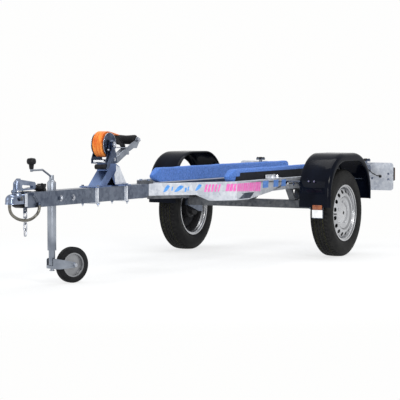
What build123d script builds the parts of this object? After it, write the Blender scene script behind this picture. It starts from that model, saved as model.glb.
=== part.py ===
"""Boat trailer for a small craft: drawbar, V frame, bunks, winch post, jockey wheel, road wheels. mm, +Z up, +X forward."""
import math
import os

from build123d import *

os.makedirs("parts", exist_ok=True)

# ---- driving dimensions (mm); x is measured forward from the road wheels' axle
NOSE_X = 2806.0
REAR_X = -940.0
AX = -(NOSE_X + REAR_X) / 2  # carries x from the axle into the shared frame
WHEEL_Z = 281.0
WHEEL_Y = 558.0
TYRE_R = 281.0
TYRE_W = 145.0
BEAD_R = 168.0
FLANGE_R = 182.5
BAR_TOP = 512.0
BAR_BOTTOM = 432.0
BAR_HALF = 40.0
BAR_FRONT = 2678.0
BAR_REAR = 70.0
BAR_WALL = 4.0
RAIL_Y = 350.0
RAIL_W = 40.0
RAIL_WALL = 4.0
RAIL_FRONT, RAIL_BEND, RAIL_REAR = 1485.0, 980.0, -790.0
RAIL_FOOT, RAIL_BELLY = 440.0, 400.0
BUNK_Y = 262.0
BUNK_W = 56.0
BUNK_Z0, BUNK_Z1 = 490.0, 585.0
BUNK_FRONT = 952.0
AXLE_X = 150.0
AXLE_Z0, AXLE_Z1 = 312.0, 365.0
GUARD_Y0, GUARD_Y1 = 452.0, 662.0
GUARD_TOP = 666.0
GUARD_HALF = 338.0
GUARD_T = 4.0
GUARD_ARC = 250.0
SKIRT = 33.0
TIE_X, TIE_Z = 284.0, 476.0
STAY_Z = 488.0
MARKER_Y0, MARKER_Y1 = 545.0, 617.0
JOCKEY_X, JOCKEY_Y = 2296.0, -BAR_HALF - 36.0
JOCKEY_TUBE_R = 24.0
JOCKEY_R = 98.0
JOCKEY_TRAIL = 128.0
JOCKEY_SWING = math.radians(22.0)
BALL_X, BALL_Z = 2765.0, 476.0
BALL_R, CUP_R = 25.4, 30.5
DRUM_X, DRUM_Z = 1899.0, 746.0
STRAP_R, DRUM_FLANGE_R = 74.0, 65.0
HOOK_X = 1776.0
PLUG_R, PLUG_Z = 16.5, BAR_TOP + 18.0
GRIP_X, GRIP_Z = 1957.0, 623.0
ROLLER_X, ROLLER_Z = 1659.0, 768.0
LAMP_Y = 410.0
LAMP_Z = 540.0
PLATE_X = -868.0
LAMP_PLATE_Y0, LAMP_PLATE_Y1 = 362.0, 597.0
LEAD_HOLE_X, LEAD_HOLE_Y = 2630.0, -28.0
PLUG_YAW = math.radians(-20)
STAND_FRONT_X, STAND_REAR_X = 2035.0, 1735.0
STRAP_Y = BAR_HALF + 10.0
BASE_Y = BAR_HALF + 16.0


# ---- helpers: each returns a finished solid in the shared frame
def box(x0, x1, y0, y1, z0, z1):
    with BuildPart() as b:
        with Locations(((x0 + x1) / 2 + AX, (y0 + y1) / 2, (z0 + z1) / 2)):
            Box(abs(x1 - x0), abs(y1 - y0), abs(z1 - z0))
    return b.part


def rod(start, end, r, bore=0.0):
    """A round bar or tube from start to end (x from the axle)."""
    s = Vector(start[0] + AX, start[1], start[2])
    e = Vector(end[0] + AX, end[1], end[2])
    with BuildPart() as b:
        with BuildSketch(Plane(origin=s, z_dir=(e - s))):
            Circle(r)
            if bore:
                Circle(bore, mode=Mode.SUBTRACT)
        extrude(amount=(e - s).length)
    return b.part


def plate_xz(points, y0, y1, hole=None):
    """A side profile (x, z) carried from y0 to y1."""
    with BuildPart() as b:
        with BuildSketch(Plane(origin=(AX, y1, 0), x_dir=(1, 0, 0), z_dir=(0, -1, 0))):
            with BuildLine():
                Polyline(*points, close=True)
            make_face()
        extrude(amount=y1 - y0)
    return b.part


def plate_xy(points, z0, z1):
    """A plan (x, y) carried from z0 to z1."""
    with BuildPart() as b:
        with BuildSketch(Plane(origin=(AX, 0, z0))):
            with BuildLine():
                Polyline(*points, close=True)
            make_face()
        extrude(amount=z1 - z0)
    return b.part


def plate_yz(points, x0, x1):
    """A front view (y, z) carried from x0 to x1."""
    with BuildPart() as b:
        with BuildSketch(Plane(origin=(AX + x0, 0, 0), x_dir=(0, 1, 0), z_dir=(1, 0, 0))):
            with BuildLine():
                Polyline(*points, close=True)
            make_face()
        extrude(amount=x1 - x0)
    return b.part


def turned(points, centre, radial=(1, 0, 0), up=(0, 0, 1)):
    """A profile of (radius, along) turned about the axis up x radial."""
    o = Vector(centre[0] + AX, centre[1], centre[2])
    p = Plane(origin=o, x_dir=radial, z_dir=up)
    with BuildPart() as b:
        with BuildSketch(p):
            with BuildLine():
                Polyline(*points, close=True)
            make_face()
        revolve(axis=Axis(origin=o, direction=p.y_dir))
    return b.part


def upright(points, centre):
    """A profile of (radius, height) turned about a vertical axis."""
    return turned(points, centre, up=(0, -1, 0))


def square_tube(points, size, wall=0.0, tilt=(0, 1, 0)):
    """A square bar through points, its section's x along tilt."""
    path = [Vector(p[0] + AX, p[1], p[2]) for p in points]
    with BuildPart() as b:
        with BuildLine():
            Polyline(*path)
        with BuildSketch(Plane(origin=path[0], x_dir=tilt, z_dir=path[1] - path[0])):
            Rectangle(size, size)
            if wall:
                Rectangle(size - 2 * wall, size - 2 * wall, mode=Mode.SUBTRACT)
        sweep(transition=Transition.RIGHT)
    return b.part


def link(centre, r, half, radius, side, along):
    """One chain link of eight-sided wire: wire radius r, straight half-length, bend radius."""
    c = Vector(centre[0] + AX, centre[1], centre[2])
    u, v = Vector(*side), Vector(*along)
    p = [c + u * radius + v * half, c - u * radius + v * half, c - u * radius - v * half, c + u * radius - v * half]
    with BuildPart() as b:
        with BuildLine():
            ThreePointArc(p[0], c + v * (half + radius), p[1])
            Line(p[1], p[2])
            ThreePointArc(p[2], c - v * (half + radius), p[3])
            Line(p[3], p[0])
        with BuildSketch(Plane(origin=p[3], z_dir=v)):
            RegularPolygon(r, 8)
        sweep()
    return b.part


def save(name, solids, cuts=()):
    with BuildPart() as n:
        for s in solids:
            add(s)
        for c in cuts:
            add(c, mode=Mode.SUBTRACT)
    n.part.label = name
    export_step(n.part, f"parts/{name}.step")
    return n.part


# ---- frame: drawbar, rails, cross pieces
hollow = box(BAR_REAR - 5, BAR_FRONT + 5, -BAR_HALF + BAR_WALL, BAR_HALF - BAR_WALL, BAR_BOTTOM + BAR_WALL, BAR_TOP - BAR_WALL)
lead_hole = rod((LEAD_HOLE_X, LEAD_HOLE_Y, BAR_TOP - 12), (LEAD_HOLE_X, LEAD_HOLE_Y, BAR_TOP + 8), 7)
save("drawbar", [box(BAR_REAR, BAR_FRONT, -BAR_HALF, BAR_HALF, BAR_BOTTOM, BAR_TOP)], [hollow, lead_hole])

# rail: a plan band met by a side profile; the web faces out and the channel opens in
SPLAY = math.atan2(RAIL_Y - BAR_HALF, RAIL_FRONT - RAIL_BEND)


def rail_line(inset, end_y):
    """Plan points of the rail's line set in from its outer face, from the rear to y = end_y at the front."""
    nose_x = RAIL_FRONT - inset / math.sin(SPLAY) + (BAR_HALF - end_y) / math.tan(SPLAY)
    return [(RAIL_REAR, RAIL_Y - inset), (RAIL_BEND - inset * math.tan(SPLAY / 2), RAIL_Y - inset), (nose_x, end_y)]


def rail_side(inset):
    """Side profile with a belly ahead of the middle, drawn in by the wall thickness."""
    low, belly, top = RAIL_FOOT + inset, RAIL_BELLY + inset, BAR_TOP - inset
    return [(1500, top), (1500, low), (RAIL_BEND + 205, low), (RAIL_BEND + 125, belly + 2), (RAIL_BEND - 160, belly), (RAIL_BEND - 480, low - 4), (RAIL_BEND - 680, low),
            (RAIL_REAR - 10, low), (RAIL_REAR - 10, top)]


RAIL_PLAN = rail_line(0, BAR_HALF) + rail_line(RAIL_W, BAR_HALF)[::-1]
POCKET_PLAN = rail_line(RAIL_WALL, BAR_HALF - 14) + rail_line(RAIL_W + 60, BAR_HALF - 14)[::-1]
for side, s in (("left", 1), ("right", -1)):
    flip = [(x, s * y) for x, y in RAIL_PLAN]
    flip2 = [(x, s * y) for x, y in POCKET_PLAN]
    with BuildPart() as rail:
        add(plate_xy(flip, RAIL_BELLY - 10, BAR_TOP + 8))
        add(plate_xz(rail_side(0), -RAIL_Y - 50, RAIL_Y + 50), mode=Mode.INTERSECT)
    with BuildPart() as pocket:
        add(plate_xy(flip2, RAIL_BELLY - 10, BAR_TOP + 8))
        add(plate_xz(rail_side(RAIL_WALL), -RAIL_Y - 50, RAIL_Y + 50), mode=Mode.INTERSECT)
    save(f"rail_{side}", [rail.part], [pocket.part, rod((TIE_X, s * (RAIL_Y - 20), TIE_Z), (TIE_X, s * (RAIL_Y + 20), TIE_Z), 7)])
# gussets under the rails' front ends, and the plate over them
GUSSET_X = RAIL_FRONT - 230
GUSSET_Y = BAR_HALF + (RAIL_FRONT - GUSSET_X) * math.tan(SPLAY)
save("front_plates", [plate_xy([(RAIL_FRONT + 15, s * BAR_HALF), (GUSSET_X, s * GUSSET_Y), (GUSSET_X, s * BAR_HALF)], RAIL_FOOT - 16, RAIL_FOOT) for s in (1, -1)] +
     [box(RAIL_FRONT - 47, RAIL_FRONT - 7, -BAR_HALF - 4, BAR_HALF + 4, BAR_TOP, BAR_TOP + 18)])

BEAMS = [(360, 410, BAR_HALF, RAIL_Y - RAIL_W), (360, 410, -RAIL_Y + RAIL_W, -BAR_HALF), (-760, -710, -RAIL_Y + RAIL_W, RAIL_Y - RAIL_W)]
save("cross_beams", [box(x0, x1, y0, y1, RAIL_FOOT + 6, BUNK_Z0) for x0, x1, y0, y1 in BEAMS], [box(x0 + 4, x1 - 4, y0 - 1, y1 + 1, RAIL_FOOT + 10, BUNK_Z0 - 4) for x0, x1, y0, y1 in BEAMS])
brackets = []
for s in (1, -1):
    y0, y1 = sorted((s * (BUNK_Y - BUNK_W / 2), s * (RAIL_Y - RAIL_W)))
    w0, w1 = sorted((s * BUNK_Y, s * (RAIL_Y - RAIL_W)))
    brackets += [box(BUNK_FRONT - 80, BUNK_FRONT - 20, y0, y1, BUNK_Z0 - 6, BUNK_Z0), box(BUNK_FRONT - 80, BUNK_FRONT - 74, w0, w1, RAIL_FOOT + 10, BUNK_Z0 - 6)]
save("bunk_brackets", brackets)

# ---- axle
save("axle_beam", [box(AXLE_X - 26, AXLE_X + 26, -446, 446, AXLE_Z0, AXLE_Z1)], [box(AXLE_X - 22, AXLE_X + 22, -450, 450, AXLE_Z0 + 4, AXLE_Z1 - 4)])
saddles = [plate_xz([(90, BAR_BOTTOM), (90, AXLE_Z1 + 11), (118, AXLE_Z1), (182, AXLE_Z1), (210, AXLE_Z1 + 11), (210, BAR_BOTTOM)], -BAR_HALF + 4, BAR_HALF - 4)]
gaps = [plate_xz([(98, BAR_BOTTOM - 8), (98, AXLE_Z1 + 19), (122, AXLE_Z1 + 8), (178, AXLE_Z1 + 8), (202, AXLE_Z1 + 19), (202, BAR_BOTTOM - 8)], -BAR_HALF - 5, BAR_HALF + 5)]
arms = []
for s in (1, -1):
    y0, y1 = sorted((s * (RAIL_Y - 45), s * RAIL_Y))
    saddles.append(plate_xz([(70, RAIL_FOOT), (70, RAIL_FOOT - 8), (116, AXLE_Z1 + 7), (116, AXLE_Z1), (184, AXLE_Z1), (184, AXLE_Z1 + 7), (230, RAIL_FOOT - 8), (230, RAIL_FOOT)], y0, y1))
    gaps.append(plate_xz([(90, RAIL_FOOT - 8), (122, AXLE_Z1 + 8), (178, AXLE_Z1 + 8), (210, RAIL_FOOT - 8)], y0 - 5, y1 + 5))
    a0, a1 = sorted((s * 446, s * 470))
    arms += [plate_xz([(AXLE_X + 22, AXLE_Z1), (AXLE_X - 22, AXLE_Z1), (-22, WHEEL_Z + 19), (-22, WHEEL_Z - 19), (22, WHEEL_Z - 19), (AXLE_X + 26, AXLE_Z0)], a0, a1), rod((0, s * 446, WHEEL_Z), (0, s * (WHEEL_Y + 2), WHEEL_Z), 15)]
save("axle_saddles", saddles, gaps)
save("torsion_arms", arms)

# ---- road wheels: tyre, rim and hub turned about the axle
HALF_W = TYRE_W / 2
SEAT = 56.0
WALL = [(BEAD_R, SEAT), (FLANGE_R + 0.5, SEAT), (FLANGE_R + 8, HALF_W - 9.5), (FLANGE_R + 30, HALF_W - 1.5), (FLANGE_R + 46, HALF_W),
        (TYRE_R - 31, HALF_W - 2.5), (TYRE_R - 14, HALF_W - 8.5), (TYRE_R - 4, HALF_W - 20.5), (TYRE_R - 0.8, HALF_W - 36.5), (TYRE_R, HALF_W - 58.5)]
TYRE = [(r, -y) for r, y in WALL] + WALL[::-1]
BARREL_R = BEAD_R - 8.0
FACE = 36.0  # the wheel's mounting face, out from its middle
RIM = [(BARREL_R, -SEAT - 6), (FLANGE_R, -SEAT - 6), (FLANGE_R, -SEAT), (BEAD_R, -SEAT), (BEAD_R, SEAT), (FLANGE_R, SEAT), (FLANGE_R, SEAT + 6), (BARREL_R, SEAT + 6),
       (BARREL_R, FACE + 10), (BARREL_R - 9, FACE + 11), (124, FACE + 23), (110, FACE + 25), (99, FACE + 20), (90, FACE + 13), (62, FACE + 11), (44, FACE + 19), (20, FACE + 22), (0, FACE + 22),
       (0, FACE + 16), (40, FACE + 13), (58.3, FACE), (92, FACE), (104, FACE + 14), (112, FACE + 19), (122, FACE + 16), (BARREL_R - 9, FACE + 4), (BARREL_R, FACE + 2)]
HUB = [(15.4, -66), (46, -66), (46, -40), (64, -34), (64, 12), (92, FACE - 11), (92, FACE), (58, FACE), (46, FACE + 7), (0, FACE + 9), (0, 22), (15.4, 22)]
VENT_RING, VENT_R, VENTS = 138.0, 12.5, 16
for side, s in (("left", 1), ("right", -1)):
    c = (0, s * WHEEL_Y, WHEEL_Z)
    save(f"tyre_{side}", [turned([(r, s * y) for r, y in TYRE], c)])
    with BuildPart() as vents:
        with Locations(Plane(origin=(AX, s * WHEEL_Y, WHEEL_Z), z_dir=(0, 1, 0))):
            with PolarLocations(VENT_RING, VENTS):
                Cylinder(VENT_R, 150)
    with BuildPart() as keep:
        add(vents.part)
        add(box(-300, 300, *sorted((s * (WHEEL_Y + 20), s * (WHEEL_Y + SEAT + 8))), 0, 2 * TYRE_R), mode=Mode.INTERSECT)
    save(f"rim_{side}", [turned([(r, s * y) for r, y in RIM], c)], [keep.part])
    save(f"hub_{side}", [turned([(r, s * y) for r, y in HUB], c)])

# ---- mudguards: an arch with a rolled lip, a marker under its front end
def arch(x, r, foot_f, foot_r, top, y0, y1):
    """Outline of the arch carried from y0 to y1."""
    with BuildPart() as b:
        with BuildSketch(Plane(origin=(AX, y1, 0), x_dir=(1, 0, 0), z_dir=(0, -1, 0))):
            with BuildLine():
                Line((x, foot_f), (x, top - r))
                RadiusArc((x, top - r), (x - r, top), -r)
                Line((x - r, top), (-x + r, top))
                RadiusArc((-x + r, top), (-x, top - r), -r)
                Line((-x, top - r), (-x, foot_r))
                Line((-x, foot_r), (x, foot_f))
            make_face()
        extrude(amount=y1 - y0)
    return b.part


for side, s in (("left", 1), ("right", -1)):
    y0, y1 = sorted((s * GUARD_Y0, s * GUARD_Y1))
    a = arch(GUARD_HALF, GUARD_ARC, 331, 360, GUARD_TOP, y0, y1)
    b_ = arch(GUARD_HALF - GUARD_T, GUARD_ARC - GUARD_T, 320, 350, GUARD_TOP - GUARD_T, *sorted((s * (GUARD_Y0 - 5), s * (GUARD_Y1 - GUARD_T))))
    c_ = arch(GUARD_HALF - SKIRT, GUARD_ARC - SKIRT, 320, 350, GUARD_TOP - SKIRT, y0 - 5, y1 + 5)
    save(f"mudguard_{side}", [a], [b_, c_])
ARC_R = GUARD_ARC - GUARD_T
stays = []
for s in (1, -1):
    for k in (1, -1):
        ya, yb = sorted((s * RAIL_Y, s * 610))
        tab0, tab1 = sorted((s * 560, s * 610))
        reach = [GUARD_HALF - GUARD_ARC + math.sqrt(ARC_R ** 2 - (z - GUARD_TOP + GUARD_ARC) ** 2) - 0.3 for z in (STAY_Z, STAY_Z + 6)]
        x0, x1 = sorted((k * (GUARD_HALF - 52), k * (GUARD_HALF - 32)))
        inner = k * (GUARD_HALF - 38)
        stays += [box(x0, x1, ya, yb, STAY_Z, STAY_Z + 6),
                  plate_xz([(inner, STAY_Z), (k * reach[0], STAY_Z), (k * reach[1], STAY_Z + 6), (inner, STAY_Z + 6)], tab0, tab1)]
# the near-side guard alone carries a front marker on a bracket behind its foot
stays.append(box(GUARD_HALF - GUARD_T - 4, GUARD_HALF - GUARD_T, MARKER_Y0, MARKER_Y1, 262, 352))
markers = [box(GUARD_HALF, GUARD_HALF + 8, MARKER_Y0, MARKER_Y1, 266, 347)]
save("mudguard_stays", stays)
save("front_markers", markers)

# ---- bunks
for side, s in (("left", 1), ("right", -1)):
    y0, y1 = sorted((s * (BUNK_Y - BUNK_W / 2), s * (BUNK_Y + BUNK_W / 2)))
    with BuildPart() as bunk:
        with BuildSketch(Plane(origin=(AX, y1, 0), x_dir=(1, 0, 0), z_dir=(0, -1, 0))):
            with BuildLine():
                Polyline((REAR_X, 505), (REAR_X, 561), (REAR_X + 40, BUNK_Z1), (BUNK_FRONT - 26, BUNK_Z1), (BUNK_FRONT, 556), (BUNK_FRONT, 508), (BUNK_FRONT - 16, BUNK_Z0), (REAR_X + 20, BUNK_Z0), close=True)
            make_face()
        extrude(amount=y1 - y0)
    save(f"bunk_{side}", [bunk.part])

# ---- coupling: domed cup on a folded neck, hand lever with a finger window, latch under the neck
HEAD_Z0, HEAD_Z1 = BALL_Z - 21, BALL_Z + CUP_R
TONGUE_HALF = BAR_HALF - BAR_WALL - 0.3
LOOP_R = 8.0
LOOP_X, LOOP_Y = BALL_X + 32, 13.0
FERRULE_X, FERRULE_Z = 2588.0, 443.0
neck_plan = [(BALL_X, CUP_R - 1), (BALL_X - 49, 33), (BALL_X - 72, BAR_HALF), (BAR_FRONT, BAR_HALF)]
neck_plan += [(x, -y) for x, y in neck_plan[::-1]]
with BuildPart() as head:
    with BuildSketch(Plane(origin=(AX, 0, HEAD_Z0))):
        with BuildLine():
            Polyline(*neck_plan, close=True)
        make_face()
    extrude(amount=HEAD_Z1 - HEAD_Z0)
    fillet(head.edges().group_by(Axis.Z)[-1].filter_by(lambda e: abs(e.tangent_at(0).X) > 0.5), 9)
cup = upright([(0, CUP_R)] + [(CUP_R * math.cos(math.radians(t)), CUP_R * math.sin(math.radians(t))) for t in range(75, -1, -15)] + [(CUP_R, -16), (CUP_R + 2.5, -21), (0, -21)], (BALL_X, 0, BALL_Z))
ball = [(0, -BALL_R)] + [(BALL_R * math.cos(math.radians(t)), BALL_R * math.sin(math.radians(t))) for t in range(-72, 90, 18)] + [(0, BALL_R)]
save("coupling_head", [head.part, cup, box(2560, BAR_FRONT, -TONGUE_HALF, TONGUE_HALF, BAR_BOTTOM + BAR_WALL + 0.3, BAR_TOP - BAR_WALL - 0.3),
                       rod((LOOP_X, LOOP_Y, HEAD_Z0), (LOOP_X, LOOP_Y, HEAD_Z0 + 9), LOOP_R + 1), box(LOOP_X - 8, LOOP_X, LOOP_Y - 6, LOOP_Y + 6, HEAD_Z0, HEAD_Z0 + 9)],
     [rod((BALL_X, 0, 430), (BALL_X, 0, BALL_Z), BALL_R), upright(ball, (BALL_X, 0, BALL_Z)),
      box(2555, BAR_FRONT - 8, -TONGUE_HALF + 4.7, TONGUE_HALF - 4.7, 430, HEAD_Z1 - 5), box(BAR_FRONT + 2, BALL_X - 34, -27, 27, 430, HEAD_Z1 - 5)])
PIVOT_X, PIVOT_Z = 2732.0, HEAD_Z1 + 12
save("coupling_pins", [rod((2728, s * 32.9, BALL_Z + 8), (2728, s * 40, BALL_Z + 8), 9) for s in (1, -1)] +
     [box(PIVOT_X - 12, PIVOT_X + 12, -8, 8, HEAD_Z1, PIVOT_Z - 3), rod((PIVOT_X, -19.5, PIVOT_Z), (PIVOT_X, 19.5, PIVOT_Z), 5)])
save("coupling_latch", [plate_xz([(BALL_X - 4 - CUP_R, HEAD_Z0), (BAR_FRONT + 6, HEAD_Z0), (BAR_FRONT + 6, HEAD_Z0 - 20), (BAR_FRONT + 22, HEAD_Z0 - 22), (BALL_X - 44, HEAD_Z0 - 14)], -24, 24)])
TOWER_X, TOWER_R = 2718.0, 17.0
tower = upright([(0, 56)] + [(TOWER_R * math.sin(math.radians(t)), 39 + TOWER_R * math.cos(math.radians(t))) for t in range(20, 91, 14)] + [(TOWER_R, 6), (TOWER_R - 4, 1), (0, 1)], (TOWER_X, 0, PIVOT_Z))
LEVER = [(2722, 573), (2706, 584), (2698, 585), (2694, 578), (2570, 562), (2562, 553), (2565, 531), (2577, 523), (2640, 522), (2716, 520)]
window = plate_xz([(2680, 551), (2590, 543), (2586, 537), (2594, 532), (2672, 531), (2684, 540)], -30, 30)
save("coupling_lever", [tower, plate_xz(LEVER, -10, 10)], [box(PIVOT_X - 34, PIVOT_X + 22, -9, 9, HEAD_Z1 - 5, PIVOT_Z + 24), rod((PIVOT_X, -30, PIVOT_Z), (PIVOT_X, 30, PIVOT_Z), 5.1), window])
CHAIN_X, CHAIN_Y, LINK_R, LINK_BEND, LINK_HALF = 2655.0, 8.0, 3.8, 8.5, 10.5
LINK_PITCH = 2 * (LINK_HALF + LINK_BEND) - 2 * LINK_R - 0.3
save("chain_lugs", [box(CHAIN_X - 15, CHAIN_X + 15, CHAIN_Y - 2, CHAIN_Y + 2, 404, BAR_BOTTOM), box(FERRULE_X + 34, FERRULE_X + 56, BAR_HALF, BASE_Y, 496, 508),
                    rod((FERRULE_X, STRAP_Y, FERRULE_Z), (FERRULE_X, STRAP_Y, FERRULE_Z + 14), LOOP_R + 1.5), rod((FERRULE_X, STRAP_Y, FERRULE_Z + 10), (FERRULE_X + 18, STRAP_Y, 478), 2.5), rod((FERRULE_X + 17, STRAP_Y, 476), (FERRULE_X + 42, STRAP_Y, 502), 2.5)], [rod((CHAIN_X, CHAIN_Y - 9, 416), (CHAIN_X, CHAIN_Y + 9, 416), 6)])
links = []
for n in range(4):
    links.append(link((CHAIN_X, CHAIN_Y, 414.3 - LINK_HALF - LINK_BEND - n * LINK_PITCH), LINK_R, LINK_HALF, LINK_BEND, ((0, 1, 0), (1, 0, 0))[n % 2], (0, 0, 1)))
save("safety_chain", links)


def cord(name, points, r):
    """A tube along straight runs joined by tangent arcs."""
    path = [Vector(p[0] + AX, p[1], p[2]) for p in points]
    radii = []
    for a, b, c in zip(path, path[1:], path[2:]):
        turn = (b - a).get_angle(c - b)
        before = (b - a).length * (0.9 if a is path[0] else 0.45)
        after = (c - b).length * (0.9 if c is path[-1] else 0.45)
        radii.append(min(before, after) / math.tan(math.radians(turn / 2)))
    print(name, "radii", [round(x) for x in radii])
    with BuildPart() as tube:
        with BuildLine() as line:
            FilletPolyline(*path, radius=radii)
        with BuildSketch(Plane(origin=path[0], z_dir=path[1] - path[0])):
            Circle(r)
        sweep()
    print(name, "volume", round(tube.part.volume), "expected", round(sum(e.length for e in line.line.edges()) * math.pi * r * r))
    save(name, [tube.part])


cord("safety_cable", [(LOOP_X, LOOP_Y, HEAD_Z0), (LOOP_X, LOOP_Y, 426), (LOOP_X - 13, 20, 401), (2761, 29, 384), (2731, 36, 374), (2698, 42, 370), (2664, 46, 373), (2632, 49, 384),
                      (FERRULE_X, STRAP_Y, 411), (FERRULE_X, STRAP_Y, FERRULE_Z)], LOOP_R)


def on_plug(d):
    """A point d along the stowed plug's axis from its face."""
    return (2490 + d * math.cos(PLUG_YAW), 9 + d * math.sin(PLUG_YAW), PLUG_Z)


cord("plug_lead", [on_plug(66), on_plug(80), (2590, -25, PLUG_Z), (2614, -28, PLUG_Z - 3), (LEAD_HOLE_X, LEAD_HOLE_Y, 519), (LEAD_HOLE_X, LEAD_HOLE_Y, 508.2)], 3.8)
save("plug_holder", [box(2484, 2545, -15, 20, BAR_TOP, BAR_TOP + 1.3), box(2490, 2512, -17, 25, BAR_TOP + 1.3, PLUG_Z + PLUG_R + 4), box(2496, 2506, 2, 8, PLUG_Z + PLUG_R + 4, PLUG_Z + PLUG_R + 7),
                     rod((LEAD_HOLE_X, LEAD_HOLE_Y, BAR_TOP - 4), (LEAD_HOLE_X, LEAD_HOLE_Y, BAR_TOP + 3), 6.9)],
     [rod(on_plug(-30), on_plug(60), PLUG_R + 0.2), rod((LEAD_HOLE_X, LEAD_HOLE_Y, BAR_TOP - 8), (LEAD_HOLE_X, LEAD_HOLE_Y, BAR_TOP + 8), 5.2)])
save("trailer_plug", [rod(on_plug(0), on_plug(46), PLUG_R), rod(on_plug(46), on_plug(55), PLUG_R - 4), rod(on_plug(55), on_plug(66), 8)])

# ---- jockey wheel: clamp, outer tube, crank, inner tube, fork, wheel
JX, JY = JOCKEY_X, JOCKEY_Y
TUBE_TOP, KNOB_X = 560.0, 2480.0
save("jockey_outer_tube", [upright([(0, 183), (JOCKEY_TUBE_R, 183), (JOCKEY_TUBE_R, TUBE_TOP - 12), (15, TUBE_TOP), (0, TUBE_TOP)], (JX, JY, 0))], [rod((JX, JY, 180), (JX, JY, TUBE_TOP - 14), JOCKEY_TUBE_R - 6.2)])
save("jockey_clamp", [box(JX - 51, JX + 112, -BAR_HALF - 6, -BAR_HALF, 440, 504), box(JX - 26, JX + 26, -BAR_HALF - 16, -BAR_HALF - 6, 445, 499), rod((JX, JY, 445), (JX, JY, 499), JOCKEY_TUBE_R + 8), box(JX - 8, JX + 8, JY - 50, JY - JOCKEY_TUBE_R, 452, 492)] +
     [rod((x, BAR_HALF, 470), (x, BAR_HALF + 7, 470), 10) for x in (JX - 31, JX + 92)] + [rod((x, -BAR_HALF - 13, 470), (x, -BAR_HALF - 6, 470), 10) for x in (JX - 40, JX + 92)], [rod((JX, JY, 430), (JX, JY, 510), JOCKEY_TUBE_R + 0.05)])
save("jockey_lock", [rod((JX, JY - 66, 472), (JX, JY - 50, 472), 6), box(JX - 32, JX + 32, JY - 74, JY - 66, 466, 478)])
arm_path = [Vector(x + AX, JY, z) for x, z in ((JX + 6, TUBE_TOP + 20), (JX + 26, TUBE_TOP + 30), (JX + 84, TUBE_TOP + 58), (KNOB_X, TUBE_TOP + 58))]
with BuildPart() as arm:
    with BuildLine():
        FilletPolyline(*arm_path, radius=14)
    with BuildSketch(Plane(origin=arm_path[0], z_dir=arm_path[1] - arm_path[0])):
        Circle(5.5)
    sweep()
save("jockey_crank", [rod((JX, JY, TUBE_TOP), (JX, JY, TUBE_TOP + 27), 13), arm.part, rod((KNOB_X, JY, TUBE_TOP + 50), (KNOB_X, JY, TUBE_TOP + 88), 7)])
save("jockey_knob", [upright([(7.1, 624), (11, 624), (14, 648), (22, 652), (25, 662), (24, 674), (19, 681), (0, 684), (0, 648.1), (7.1, 648.1)], (KNOB_X, JY, 0))])
save("jockey_inner_tube", [rod((JX, JY, 104), (JX, JY, TUBE_TOP - 62), JOCKEY_TUBE_R - 6.5), rod((JX, JY, 76), (JX, JY, 104), 9), rod((JX, JY, 72), (JX, JY, 76), 14)])
TX, TY = -math.cos(JOCKEY_SWING), math.sin(JOCKEY_SWING)  # trail direction
NX, NY = TY, -TX  # wheel axle direction


def swung(s, n):
    """Plan point s along the trail and n along the wheel's axle."""
    return (JX + s * TX + n * NX, JY + s * TY + n * NY)


def swung_box(s0, s1, n0, n1, z0, z1):
    return plate_xy([swung(s0, n0), swung(s1, n0), swung(s1, n1), swung(s0, n1)], z0, z1)


def swung_plate(points, n0, n1):
    """A side profile (s, z) of the fork carried from n0 to n1 along the wheel's axle."""
    o = swung(0, n1)
    with BuildPart() as b:
        with BuildSketch(Plane(origin=(o[0] + AX, o[1], 0), x_dir=(TX, TY, 0), z_dir=(-NX, -NY, 0))):
            with BuildLine():
                Polyline(*[(x, z * swung_up) for x, z in points], close=True)
            make_face()
        extrude(amount=n1 - n0)
    return b.part


swung_up = 1 if Plane(origin=(0, 0, 0), x_dir=(TX, TY, 0), z_dir=(-NX, -NY, 0)).y_dir.Z > 0 else -1
FORK_SIDE = [(-13, 84), (30, 80), (JOCKEY_TRAIL, 84), (JOCKEY_TRAIL + 14, 98), (JOCKEY_TRAIL, 114), (60, 128), (-6, 140), (-13, 132)]
wheel_c = swung(JOCKEY_TRAIL, 0)
pin_a, pin_b = swung(JOCKEY_TRAIL, -36), swung(JOCKEY_TRAIL, 36)
AXLE_HOLE = rod((pin_a[0] - 9 * NX, pin_a[1] - 9 * NY, JOCKEY_R), (pin_b[0] + 9 * NX, pin_b[1] + 9 * NY, JOCKEY_R), 6)
save("jockey_fork", [swung_plate(FORK_SIDE, 30, 34), swung_plate(FORK_SIDE, -34, -30), swung_box(-13, 20, -30, 30, 84, 101)], [rod((JX, JY, 70), (JX, JY, 110), 9.3), AXLE_HOLE])
save("jockey_axle", [rod((pin_a[0], pin_a[1], JOCKEY_R), (pin_b[0], pin_b[1], JOCKEY_R), 6)] + [rod((wheel_c[0] + k * 34 * NX, wheel_c[1] + k * 34 * NY, JOCKEY_R), (wheel_c[0] + k * 41 * NX, wheel_c[1] + k * 41 * NY, JOCKEY_R), 10) for k in (1, -1)])
JT = [(66, -21), (80, -25), (91, -22), (97, -12), (98, 0), (97, 12), (91, 22), (80, 25), (66, 21)]
JR = [(6.2, -27), (16, -27), (16, -10), (56, -6), (58, -20), (66, -20), (66, 20), (58, 20), (56, 6), (16, 10), (16, 27), (6.2, 27)]
for name, prof in (("jockey_tyre", JT), ("jockey_rim", JR)):
    save(name, [turned(prof, (wheel_c[0], wheel_c[1], JOCKEY_R), radial=(TX, TY, 0), up=(0, 0, 1))])

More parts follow.
